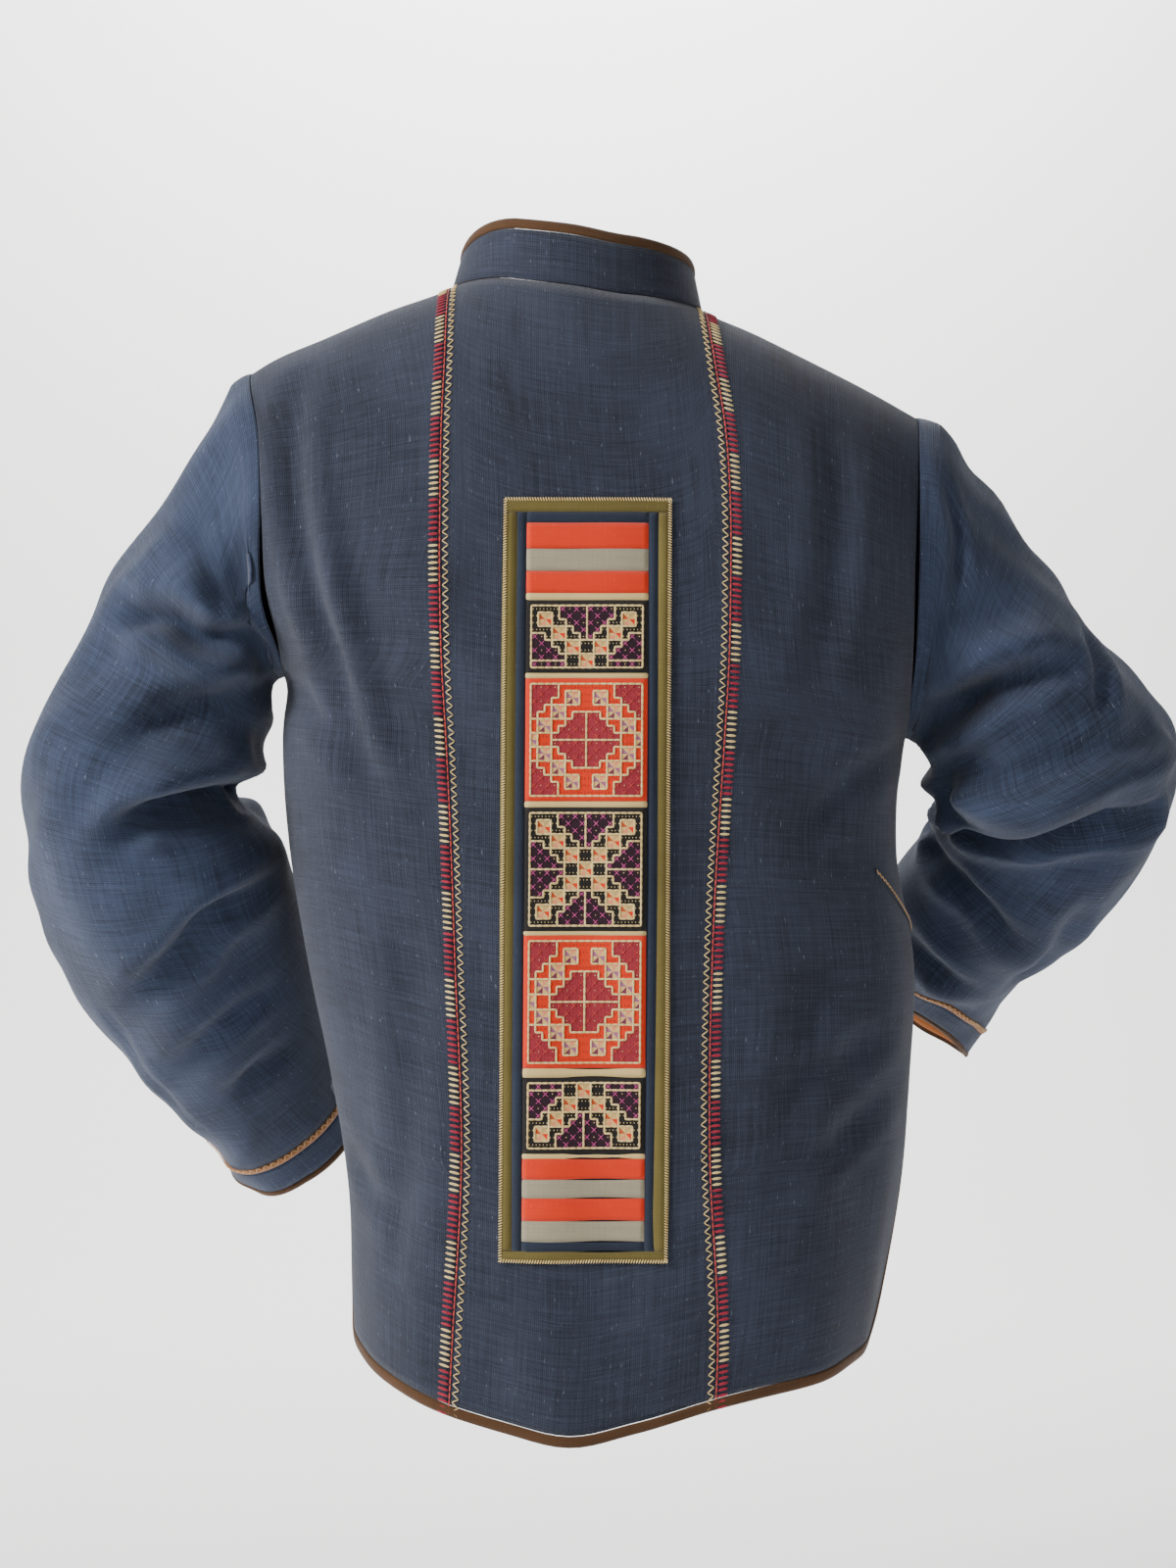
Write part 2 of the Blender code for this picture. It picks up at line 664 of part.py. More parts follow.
def collar():
    around = 2 * FRONT_COLUMNS + BACK_COLUMNS

    def wall(u, v):
        turn = collar_turn(u * around)
        top = read(COLLAR, "height", np.degrees(turn)) - BINDING - BOUND_SEAM
        return collar_skin(turn, top * v)

    def edge(u, v):
        """Up the left end, round the top and down the right end."""
        step = u * (around + 2) - 1
        turn = collar_turn(np.clip(step, 0, around))
        past = np.clip(-step, 0, 1) + np.clip(step - around, 0, 1)
        ends = (step < 0.01) | (step > around - 0.01)
        turn = turn + np.sign(turn) * ends * v * BINDING / NECK_HALF
        turn = turn + np.sign(turn) * ends * BOUND_SEAM / NECK_HALF
        top = read(COLLAR, "height", np.degrees(turn)) - BINDING * (1 - v)
        return collar_skin(turn, top * (1 - past))

    cloth("collar", "indigo_hemp", wall, around, 2)
    cloth("collar_binding", "brown_binding", edge, around + 2, 1, TRIM_WALL, TRIM_PROUD)


def on_side_panel(side, face, across, row):
    """A point on a side panel's facets, between the corners of the one it lies on."""
    column = SIDE_COLUMNS * (1 - (1 - across) ** (1 / SIDE_CROWD))
    level = np.interp(row, BODY_STEPS, range(BODY_ROWS + 1))
    first = np.clip(np.floor(column), 0, SIDE_COLUMNS - 1)
    low = np.clip(np.floor(level), 0, BODY_ROWS - 1)
    share = (column - first)[..., None]
    rise = (level - low)[..., None]

    def corner(column_step, level_step):
        at = crowd((first + column_step) / SIDE_COLUMNS)
        up = np.interp(low + level_step, range(BODY_ROWS + 1), BODY_STEPS)
        return side_skin(side, face, at, up)

    foot = blend(corner(0, 0), corner(1, 0), share)
    head = blend(corner(0, 1), corner(1, 1), share)
    return blend(foot, head, rise)


def pocket_mouths():
    """The stitched mouths of the side pockets, each from behind the side seam to the front."""
    for side, name in ((1, "left"), (-1, "right")):
        def skin(u, v, side=side):
            share = 1 - u if side > 0 else u
            round_side = np.interp(share, POCKET_COLUMNS, POCKET_ROUND[side])
            z = read(POCKET, "z", round_side) + (v - 1) * POCKET_WIDTH
            across = 1 - np.abs(round_side) / PANEL_REACH[side]
            x = side * half_width(side, z)
            points = []
            for face in (1, -1):
                hem = read(ACROSS, "hem_back" if face > 0 else "hem_front", x)
                row = (z - hem) / (read(ACROSS, "base", x) - hem)
                points.append(on_side_panel(side, face, across, row))
            return np.where((round_side <= 0)[..., None], *points)

        cloth(f"pocket_mouth_{name}", "navy_cotton", out_from(skin, POCKET_LIFT + STRIP_WALL),
              POCKET_STEPS, 1, STRIP_WALL)


def strip_piece(name, material, left, right, top, foot, columns, rows):
    """A piece of the embroidered strip: left and right from its middle, top and foot down it."""
    def skin(u, v):
        down = blend(foot - SEAM / 2, top + SEAM / 2, v)
        share = down / strip_length()
        middle = blend(STRIP_MIDDLE_TOP, STRIP_MIDDLE_FOOT, share)
        x = middle + blend(left - SEAM / 2, right + SEAM / 2, u)
        return strip_skin(x, STRIP_TOP - down)

    cloth(name, material, out_from(skin, LIFT + STRIP_WALL), columns, rows, STRIP_WALL)


def strip_length():
    return sum(piece.height for piece in STRIP)


def embroidered_strip():
    half = STRIP_WIDTH / 2
    inner = half - OLIVE
    content = inner - NAVY
    length = strip_length()
    top = 0.0
    for piece in STRIP:
        foot = top + piece.height
        bar = piece.name in ("olive_top", "olive_foot")
        wide, columns = (half, 5) if bar else (content, 3)
        rows = max(1, round(piece.height / 25))
        strip_piece(piece.name, piece.material, wide, -wide, top, foot, columns, rows)
        top = foot
    head, tail = STRIP[0].height, STRIP[-1].height
    for side, name in ((1, "left"), (-1, "right")):
        for kind, outer, width in (("olive", half, OLIVE), ("navy", inner, NAVY)):
            edges = sorted((side * outer, side * (outer - width)), reverse=True)
            strip_piece(f"{kind}_{name}", f"{kind}_cotton", *edges, head, length - tail, 1, 14)


def front_place(z):
    """A point on the front's middle line, and the way out from it."""
    x = read(SEAMS, "middle", z)
    heights = np.array([z - 4.0, z, z + 4.0])
    low, high = np.zeros(3), np.full(3, 2.0)
    for _ in range(26):
        row = (low + high) / 2
        below = plain_skin(x + 0 * row, row, -1)[..., 2] < heights
        low = np.where(below, row, low)
        high = np.where(below, high, row)
    points = plain_skin(x + 0 * row, row, -1)
    along = points[2] - points[0]
    normal = np.cross([1.0, 0.0, 0.0], along)
    return points[1], normal / np.linalg.norm(normal)


def fastenings():
    """Knot buttons, each held in a cord loop, down the middle of the fronts."""
    for number, z in enumerate(BUTTON_HEIGHTS, 1):
        point, normal = front_place(z)
        turned = Vector(normal).to_track_quat("Z", "Y")
        knot_place = point + normal * (TRIM_PROUD + LIFT + BUTTON_RADIUS * BUTTON_FLAT)
        bpy.ops.mesh.primitive_uv_sphere_add(segments=8, ring_count=6,
                                             radius=BUTTON_RADIUS * MM)
        place_fastening(f"button_{number}", "brown_binding", knot_place, turned)
        bpy.context.object.scale = (1, 1, BUTTON_FLAT)
        loop_place = point + normal * (TRIM_PROUD + 2 * LIFT + LOOP_CORD)
        bpy.ops.mesh.primitive_torus_add(major_segments=12, minor_segments=4,
                                         major_radius=LOOP_RADIUS * MM,
                                         minor_radius=LOOP_CORD * MM)
        place_fastening(f"button_loop_{number}", "brown_binding", loop_place, turned)


def place_fastening(name, material, place, turned):
    piece = bpy.context.object
    piece.name = name
    piece.data.name = name
    piece.location = place * MM
    piece.rotation_mode = "QUATERNION"
    piece.rotation_quaternion = turned
    piece.data.materials.append(materials[material])
    for owner in list(piece.users_collection):
        owner.objects.unlink(piece)
    parts.objects.link(piece)


parts = None
materials = {}


def main():
    global parts
    for old in list(bpy.data.objects):
        bpy.data.objects.remove(old)
    parts = bpy.data.collections.new("hmong_embroidered_jacket")
    bpy.context.scene.collection.children.link(parts)
    for name in FINISHES:
        materials[name] = new_material(name)
    for side in (1, -1):
        side_panel(side)
    back_centre()
    front_panels()
    back_binding()
    front_bindings()
    sleeves()
    collar()
    pocket_mouths()
    embroidered_strip()
    fastenings()


main()
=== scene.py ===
"""Looks of a hmong embroidered jacket: slubbed indigo hemp in its cut pieces, brown bindings,
seam bands of bar and zigzag stitches, and a patchwork strip with counted-thread motifs.

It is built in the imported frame, in metres. Tables are in millimetres, and cloth() and
sew() turn them to metres. The back faces +Y, and the wearer's left side is +X.
"""
from collections import namedtuple
from math import pi

import bmesh
import bpy
import numpy as np
from mathutils import Matrix, Vector


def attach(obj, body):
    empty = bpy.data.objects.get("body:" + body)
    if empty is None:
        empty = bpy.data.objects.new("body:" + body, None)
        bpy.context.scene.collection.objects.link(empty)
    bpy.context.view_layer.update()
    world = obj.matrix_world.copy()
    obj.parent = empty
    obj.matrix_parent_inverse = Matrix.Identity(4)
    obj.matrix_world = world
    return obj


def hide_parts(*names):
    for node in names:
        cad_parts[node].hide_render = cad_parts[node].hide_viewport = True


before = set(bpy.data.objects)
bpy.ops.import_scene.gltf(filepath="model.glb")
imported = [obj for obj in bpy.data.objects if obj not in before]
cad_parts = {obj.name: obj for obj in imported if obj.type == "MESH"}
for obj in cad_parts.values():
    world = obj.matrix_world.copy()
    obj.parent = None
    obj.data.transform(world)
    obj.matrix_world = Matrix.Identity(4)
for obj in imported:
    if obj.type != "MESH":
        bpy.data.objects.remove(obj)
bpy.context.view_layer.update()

MM = 0.001

# Cloth walls and the seams between them
CLOTH_WALL = 1.6
STRIP_WALL = 1.0
TRIM_WALL = 2.4
TRIM_PROUD = 0.4
SEAM = 0.3
BOUND_SEAM = 0.3
ARMHOLE_SEAM = 0.4
LIFT = 0.5

# Torso, in level slices: half widths to each side, depths behind and in front, squareness
Slice = namedtuple("Slice", "z left right back front power")
TORSO = [
    Slice(-670, 133, 172, 116, 120, 2.4),
    Slice(-600, 135, 186, 115, 122, 2.4),
    Slice(-530, 137, 197, 113, 124, 2.4),
    Slice(-465, 146, 201, 111, 125, 2.5),
    Slice(-400, 159, 202, 109, 125, 2.6),
    Slice(-335, 169, 191, 108, 125, 2.7),
    Slice(-265, 173, 197, 109, 124, 2.8),
    Slice(-228, 172, 208, 110, 122, 2.8),
    Slice(-200, 190, 218, 110, 121, 2.8),
    Slice(-150, 210, 228, 110, 119, 2.8),
    Slice(-60, 226, 238, 108, 114, 2.8),
    Slice(40, 230, 242, 106, 112, 2.8),
]

# Shoulder line across the body, the level where the torso starts to close over it, and the hem
Across = namedtuple("Across", "x crest base hem_back hem_front")
ACROSS = [
    Across(-215, -77, -265, -628, -632),
    Across(-175, -55, -265, -630, -634),
    Across(-139, -37, -260, -636, -638),
    Across(-104, -20, -256, -641, -642),
    Across(-78, -9, -254, -646, -645),
    Across(-35, 18, -250, -658, -649),
    Across(0, 32, -246, -665, -650),
    Across(35, 26, -243, -659, -648),
    Across(74, 5, -239, -648, -644),
    Across(110, -8, -235, -635, -636),
    Across(150, -25, -231, -618, -622),
    Across(181, -38, -228, -618, -622),
    Across(205, -53, -228, -618, -622),
]

# Seams up the body: back and front bands, armholes, and the line where the fronts meet
Seams = namedtuple("Seams", "z band_left band_right arm_left arm_right middle")
SEAMS = [
    Seams(-670, 70, -78, 133, -172, -16),
    Seams(-600, 67, -81, 135, -186, -16),
    Seams(-500, 63, -77, 140, -200, -14),
    Seams(-390, 67, -79, 160, -202, -12),
    Seams(-265, 72, -86, 173, -197, -8),
    Seams(-228, 74, -88, 172, -200, -6),
    Seams(-180, 75, -89, 182, -201, -5),
    Seams(-130, 75, -89, 181, -202, -4),
    Seams(-90, 75, -87, 183, -204, -3),
    Seams(-50, 74, -82, 193, -209, -2),
    Seams(-8, 74, -78, 200, -211, -2),
    Seams(40, 74, -78, 200, -211, -2),
]

# Neck opening and collar
NECK_X = -2
NECK_HALF = 76
NECK_BACK = 65
NECK_FRONT = 62
BINDING = 6.0
FRONT_GAP = 0.6
BOUND_ROOM = BINDING + BOUND_SEAM
FRONT_EDGE = FRONT_GAP / 2 + BOUND_ROOM
Stand = namedtuple("Stand", "turn height lean")
COLLAR = [
    Stand(-180, 25, 6),
    Stand(-90, 30, 6),
    Stand(-45, 35, 7),
    Stand(0, 37, 7),
    Stand(45, 35, 7),
    Stand(90, 24, 7),
    Stand(180, 25, 6),
]
COLLAR_FOOT = 0.6

# Arch of the shoulders from back to front
ARCH_BACK = 2.5
ARCH_FRONT_SIDE = 2.0
ARCH_FRONT_NECK = 1.45
ARCH_CHANGE = 90.0

# Rounding of the hem's corners, and how far the side panels reach round each side
VENT_CORNER = 22
BODY_HEIGHT = 405
PANEL_REACH = {1: 125, -1: 165}

# Sleeves: ring centres, the way each ring faces, and its half sizes
Ring = namedtuple("Ring", "along x y z out forward outer inner back front")
SLEEVE_LEFT = [
    Ring(0.00, 184, 0, -140, 80, 0, 88, 88, 62, 62),
    Ring(0.14, 216, 0, -178, 57, 0, 62, 64, 62, 62),
    Ring(0.32, 238, 0, -219, 35, 2, 62, 64, 63, 62),
    Ring(0.52, 265, -2, -300, 8, 16, 68, 70, 64, 62),
    Ring(0.68, 257, -30, -362, -14, 32, 74, 82, 62, 60),
    Ring(0.85, 228, -84, -438, -28, 38, 66, 72, 57, 56),
    Ring(1.00, 197, -133, -502, -33, 38, 53, 54, 50, 50),
]
SLEEVE_RIGHT = [
    Ring(0.00, -204, 0, -168, 84, 0, 97, 97, 62, 62),
    Ring(0.14, -238.5, 0, -203, 65, 0, 71, 72, 62, 62),
    Ring(0.32, -261, 0, -236, 43, 2, 62, 62, 61, 60),
    Ring(0.52, -297, -8, -293, 16, 22, 73, 75, 62, 60),
    Ring(0.68, -290, -52, -342, -24, 42, 50, 64, 58, 56),
    Ring(0.85, -262, -112, -388, -34, 42, 47, 66, 54, 52),
    Ring(1.00, -236, -158, -432, -34, 2, 46, 50, 50, 54),
]
SLEEVE_HEAD = 0.06
SLEEVE_HEAD_OUT = 9.0
SLEEVE_SET = 0.24
UNDERARM = 0.45
CUFF_FROM = 0.95
CUFF_STRAIGHT = 0.5
CUFF_TRIM = 4.5
CUFF_BAND = 21.0
CUFF_EDGE = 4.0
CUFF_TEETH = 68

# Folds big enough to shape the sleeves: place along and round (degrees from the outer side,
# towards the back), reach of each, and how far the cloth stands in (minus) or out
Fold = namedtuple("Fold", "along round reach_along reach_round depth")
FOLDS_LEFT = [
    Fold(0.53, 150, 0.045, 55, -9),
    Fold(0.62, 150, 0.050, 50, 6),
    Fold(0.36, 120, 0.035, 60, -4),
]
FOLDS_RIGHT = [
    Fold(0.58, 150, 0.045, 60, -10),
    Fold(0.47, 140, 0.060, 60, 5),
]

# Pocket mouths, which cross the side seams: height against distance round the side
Mouth = namedtuple("Mouth", "round z")
POCKET = [Mouth(-68, -342), Mouth(-40, -362), Mouth(0, -386), Mouth(45, -418), Mouth(95, -455)]
POCKET_WIDTH = 5.0
POCKET_ROUND = {1: (4, 95), -1: (-68, 95)}

# Embroidered strip down the back: its middle line, width, top, and its pieces from the top down
STRIP_TOP = -132
STRIP_MIDDLE_TOP = -8.5
STRIP_MIDDLE_FOOT = -5.5
STRIP_WIDTH = 94.0
OLIVE = 7.0
NAVY = 5.5
Piece = namedtuple("Piece", "name height material")
STRIP = [
    Piece("olive_top", 7.6, "olive_cotton"),
    Piece("navy_top", 6.2, "navy_cotton"),
    Piece("orange_1", 14.8, "orange_cotton"),
    Piece("grey_1", 12.6, "grey_cotton"),
    Piece("orange_2", 12.6, "orange_cotton"),
    Piece("piping_1", 3.9, "cream_cotton"),
    Piece("motif_1", 41.2, "black_cotton"),
    Piece("piping_2", 2.8, "cream_cotton"),
    Piece("motif_2", 69.4, "orange_cotton"),
    Piece("piping_3", 3.3, "cream_cotton"),
    Piece("motif_3", 69.9, "black_cotton"),
    Piece("piping_4", 2.3, "cream_cotton"),
    Piece("motif_4", 74.8, "orange_cotton"),
    Piece("piping_5", 5.0, "cream_cotton"),
    Piece("motif_5", 42.9, "black_cotton"),
    Piece("piping_6", 2.8, "cream_cotton"),
    Piece("orange_3", 11.6, "orange_cotton"),
    Piece("grey_2", 10.5, "grey_cotton"),
    Piece("orange_4", 12.7, "orange_cotton"),
    Piece("grey_3", 11.6, "grey_cotton"),
    Piece("navy_foot", 5.5, "navy_cotton"),
    Piece("olive_foot", 6.0, "olive_cotton"),
]

# Buttons and their loops on the fronts, which show nowhere else
BUTTON_HEIGHTS = [-80, -190, -300, -410, -520]
BUTTON_FLAT = 0.8
LOOP_RADIUS = 7.2
LOOP_CORD = 1.1

# Rows up the body as shares of the way, and how closely rows and columns crowd
ARCH_ROWS = 26
BODY_ROWS = 84
ARCH_CROWD = 1.5
SIDE_COLUMNS = 40
SIDE_CROWD = 1.15
BACK_COLUMNS = 34
FRONT_COLUMNS = 18
COLLAR_END = 3
SLEEVE_ROWS = 96
SLEEVE_ROUND = 84


def curve(keys, values, at):
    """A smooth curve through a table's column, level past its ends."""
    keys = np.asarray(keys, float)
    values = np.asarray(values, float)
    slope = np.gradient(values, keys)
    at = np.clip(at, keys[0], keys[-1])
    i = np.clip(np.searchsorted(keys, at, side="right") - 1, 0, len(keys) - 2)
    step = keys[i + 1] - keys[i]
    f = (at - keys[i]) / step
    start = (1 + 2 * f) * (1 - f) ** 2 * values[i] + f * (1 - f) ** 2 * step * slope[i]
    end = f * f * (3 - 2 * f) * values[i + 1] - f * f * (1 - f) * step * slope[i + 1]
    return start + end


def read(table, column, at):
    """Reads one column of a table against its first column."""
    return curve([row[0] for row in table], [getattr(row, column) for row in table], at)


def blend(a, b, f):
    return a + (b - a) * f


def half_width(side, z):
    return read(TORSO, "left" if side > 0 else "right", z)


def arch_power(x, face):
    """Squareness of the shoulders' arch, which is sharper by the front of the neck."""
    if face > 0:
        return ARCH_BACK + 0 * x
    return blend(ARCH_FRONT_NECK, ARCH_FRONT_SIDE, np.clip(np.abs(x) / ARCH_CHANGE, 0, 1) ** 2)


def torso_at(x, turn_cos, z, face, arch):
    """The skin's point at x: turn_cos is the slice's depth there, arch its lean over the top."""
    depth = read(TORSO, "back" if face > 0 else "front", z)
    y = face * depth * turn_cos * np.cos(arch) ** (2 / arch_power(x, face))
    return np.stack([x, y, z], -1)


def height_at(x, row, face, lifted=0.0):
    """Height at x of a row: 0 is the hem, 1 the foot of the arch, 2 the shoulder line."""
    base = read(ACROSS, "base", x)
    hem = read(ACROSS, "hem_back" if face > 0 else "hem_front", x) + lifted
    arch = np.clip(row - 1, 0, 1) ** ARCH_CROWD * pi / 2
    low = blend(hem, base, np.clip(row, 0, 1))
    rise = np.sin(arch) ** (2 / arch_power(x, face))
    high = base + (read(ACROSS, "crest", x) - base) * rise
    return np.where(row <= 1, low, high), arch


def side_skin(side, face, across, row, lifted=0.0, inset=0.0):
    """Side panel: across runs from the band (0) to the side seam or armhole (1)."""
    band_name = "band_left" if side > 0 else "band_right"
    arm_name = "arm_left" if side > 0 else "arm_right"
    x = side * (120 + 0 * across)
    for _ in range(12):
        z, arch = height_at(x, row, face, lifted)
        width = half_width(side, z)
        power = read(TORSO, "power", z)
        band = np.clip((np.abs(read(SEAMS, band_name, z)) + SEAM / 2) / width, 0, 1)
        arm = np.clip(np.abs(read(SEAMS, arm_name, z)) / width, 0, 1)
        arm = np.where(row > 1, arm, 1.0)
        start = np.arcsin(band ** (power / 2))
        end = np.arcsin(arm ** (power / 2)) - (inset + SEAM / 2) / 90 * (row <= 1)
        turn = blend(start, end, across)
        x = side * width * np.sin(turn) ** (2 / power)
    return torso_at(x, np.cos(turn) ** (2 / power), z, face, arch)


def plain_skin(x, row, face):
    """The body's skin at x, away from the sides."""
    z, arch = height_at(x, row, face)
    side = np.sign(x)
    width = np.where(side >= 0, half_width(1, z), half_width(-1, z))
    power = read(TORSO, "power", z)
    turn_cos = (1 - (np.abs(x) / width) ** power) ** (1 / power)
    return torso_at(x, turn_cos, z, face, arch)


def neck_row(x, face):
    """The row where the neck opening cuts the body at x."""
    reach = NECK_BACK if face > 0 else NECK_FRONT
    ring = reach * np.sqrt(np.clip(1 - ((x - NECK_X) / NECK_HALF) ** 2, 0, 1))
    low, high = 1 + 0 * x, 2 + 0 * x
    for _ in range(30):
        row = (low + high) / 2
        outside = np.abs(plain_skin(x, row, face)[..., 1]) > ring
        low = np.where(outside, row, low)
        high = np.where(outside, high, row)
    return row


def middle_skin(left, right, face, across, row):
    """A panel between two seams up the body: row 2 is the neck opening."""
    z = -300 + 0 * row
    for _ in range(14):
        x = blend(edge_x(left, z), edge_x(right, z), across)
        z, _arch = height_at(x, row, face)
    top = neck_row(x, face)
    arch_row = np.where(row > 1, 1 + (row - 1) * (top - 1), row)
    return plain_skin(x, arch_row, face)


def edge_x(edge, z):
    """A seam's x at a height, from its column and its shift."""
    column, shift = edge
    return read(SEAMS, column, z) + shift


def strip_skin(x, z):
    """The back at x and z, found by halving between the hem and the shoulder."""
    low, high = 0 * x, 2 + 0 * x
    for _ in range(26):
        row = (low + high) / 2
        below = plain_skin(x, row, 1)[..., 2] < z
        low = np.where(below, row, low)
        high = np.where(below, high, row)
    return plain_skin(x, row, 1)


def neck_ring(turn):
    """The neck opening's edge: turn is 0 at the back, 90 degrees at the wearer's left."""
    x = NECK_X + NECK_HALF * np.sin(turn)
    back = plain_skin(x, neck_row(x, 1), 1)
    front = plain_skin(x, neck_row(x, -1), -1)
    return np.where((np.cos(turn) >= 0)[..., None], back, front)


def collar_skin(turn, up):
    """The collar's wall: up is in mm from its seam."""
    foot = neck_ring(turn)
    degrees = np.degrees(turn)
    height = read(COLLAR, "height", degrees)
    lean = read(COLLAR, "lean", degrees) * up / height
    rise = np.sqrt(np.maximum(up ** 2 - lean ** 2, 0)) * np.sign(up)
    offset = np.stack([-np.sin(turn) * lean, -np.cos(turn) * lean, rise + COLLAR_FOOT], -1)
    return foot + offset


def armhole(side, round_part):
    """The armhole's edge from the underarm (0) up the back (0.5 at the top) to the front (1)."""
    back = np.clip(round_part * 2, 0, 1)
    front = np.clip(2 - round_part * 2, 0, 1)
    behind = side_skin(side, 1, 1 + 0 * back, 1 + np.maximum(back, 1e-6))
    ahead = side_skin(side, -1, 1 + 0 * front, 1 + np.maximum(front, 1e-6))
    loop = np.where((round_part <= 0.5)[..., None], behind, ahead)
    under = np.clip(1 - np.minimum(back, front) / UNDERARM, 0, 1)
    under = under * under * (3 - 2 * under)
    way = np.stack([side + 0 * under, 0 * under, under], -1)
    way /= np.linalg.norm(way, axis=-1, keepdims=True)
    return loop + way * ARMHOLE_SEAM


def sleeve_ring(side, along, round_part):
    """A ring of the sleeve before its folds: round_part as on the armhole."""
    table = SLEEVE_LEFT if side > 0 else SLEEVE_RIGHT
    centre = np.stack([read(table, name, along) for name in ("x", "y", "z")], -1)
    out = np.radians(read(table, "out", along))
    forward = np.radians(read(table, "forward", along))
    facing = np.stack([side * np.sin(out) * np.cos(forward), -np.sin(forward),
                       -np.cos(out) * np.cos(forward)], -1)
    behind = np.array([0.0, 1.0, 0.0]) - facing * facing[..., 1:2]
    behind /= np.linalg.norm(behind, axis=-1, keepdims=True)
    outward = side * np.cross(facing, behind)
    angle = pi - 2 * pi * round_part
    cos, sin = np.cos(angle), np.sin(angle)
    outer = np.where(cos > 0, read(table, "outer", along), read(table, "inner", along))
    depth = np.where(sin > 0, read(table, "back", along), read(table, "front", along))
    offset = outward * (outer * cos)[..., None] + behind * (depth * sin)[..., None]
    return centre + offset, offset


def sleeve_skin(side, along, round_part):
    """The sleeve's outer skin, from the armhole (0) to the cuff's trim (1)."""
    ring, offset = sleeve_ring(side, np.maximum(along, SLEEVE_HEAD), round_part)
    away = np.clip(along, 0, SLEEVE_HEAD) / SLEEVE_HEAD * SLEEVE_HEAD_OUT
    start = armhole(side, round_part) + np.array([side, 0, 0]) * away[..., None]
    share = np.clip(along / SLEEVE_SET, 0, 1)
    share = (share * share * (3 - 2 * share))[..., None]
    point = blend(start, ring, share)
    inward = -offset / np.linalg.norm(offset, axis=-1, keepdims=True)
    degrees = 180 - 360 * round_part
    depth = 0 * along
    for fold in FOLDS_LEFT if side > 0 else FOLDS_RIGHT:
        near = np.exp(-((along - fold.along) / fold.reach_along) ** 2)
        gap = (degrees - fold.round + 180) % 360 - 180
        depth = depth - fold.depth * near * np.exp(-(gap / fold.reach_round) ** 2)
    return point + inward * depth[..., None]


def cuff_skin(side, down, round_part):
    """The cuff, which runs on straight from the sleeve: down is in mm from the sleeve's end."""
    table = SLEEVE_LEFT if side > 0 else SLEEVE_RIGHT
    end = sleeve_skin(side, 1 + 0 * round_part, round_part)
    before = sleeve_skin(side, CUFF_FROM + 0 * round_part, round_part)
    straight = [read(table, name, 1) - read(table, name, CUFF_FROM) for name in ("x", "y", "z")]
    way = (end - before) / np.linalg.norm(end - before, axis=-1, keepdims=True)
    way = blend(way, straight / np.linalg.norm(straight), CUFF_STRAIGHT)
    way /= np.linalg.norm(way, axis=-1, keepdims=True)
    return end + way * down[..., None]


# Waves of the hanging cloth: wavelengths, and how far the cloth stands in and out
HANG_WAVES = (150.0, 118.0, 93.0, 74.0, 61.0, 47.0)
HANG_DEPTH = 1.5
SLEEVE_WAVES = (130.0, 96.0, 70.0, 52.0, 40.0, 31.0)
SLEEVE_DEPTH = 2.4

# Every crease has a low ridge on each side: its share of the depth, and its place and width in
# half widths of the crease
RIDGE_SHARE = 0.4
RIDGE_PLACE = 2.1
RIDGE_WIDTH = 0.9

# Creases: half width, depth (minus for a ridge), strength at each end, and their run.
# On the body a run is (x, z); on a sleeve it is (along, degrees round)
Crease = namedtuple("Crease", "width depth first last run")
BACK_CREASES = [
    Crease(8.1, 6.3, 0.3, 0.1, [(160, -61), (163, -91), (160, -133), (154, -165), (148, -192),
                              (140, -213), (125, -266), (109, -302)]),
    Crease(7.2, -3.1, 0.1, 0.1, [(146, -120), (136, -180), (120, -240), (100, -300)]),
    Crease(8.1, 3.6, 0.6, 0.0, [(168, -236), (140, -262), (118, -300)]),
    Crease(9, 3.4, 0.1, 0.1, [(-150, -70), (-152, -130), (-146, -190), (-134, -250)]),
    Crease(8.1, 3.1, 0.5, 0.0, [(-192, -270), (-160, -292), (-130, -330)]),
    Crease(8.1, 2.8, 0.0, 0.0, [(-190, -430), (-150, -455), (-112, -466)]),
    Crease(8.1, 3.1, 0.3, 0.0, [(-186, -470), (-150, -500), (-118, -512)]),
    Crease(9.9, 2.5, 0.0, 0.0, [(-150, -380), (-128, -460), (-118, -560)]),
    Crease(10.8, 2.5, 0.0, 0.0, [(100, -330), (92, -420), (96, -520), (104, -600)]),
    Crease(8.1, 2.2, 0.0, 0.0, [(136, -500), (116, -530), (92, -540)]),
]
FRONT_CREASES = [
    Crease(8.1, 4.9, 0.3, 0.0, [(165, -80), (160, -150), (146, -210), (120, -290)]),
    Crease(8.1, 4.2, 0.6, 0.0, [(168, -236), (136, -262), (104, -290)]),
    Crease(8.1, 4.9, 0.3, 0.0, [(-178, -90), (-172, -160), (-158, -220), (-130, -300)]),
    Crease(8.1, 4.2, 0.6, 0.0, [(-192, -270), (-156, -292), (-120, -320)]),
    Crease(9.9, 2.5, 0.0, 0.0, [(110, -340), (100, -430), (104, -560)]),
    Crease(9.9, 2.5, 0.0, 0.0, [(-130, -360), (-118, -450), (-120, -570)]),
]
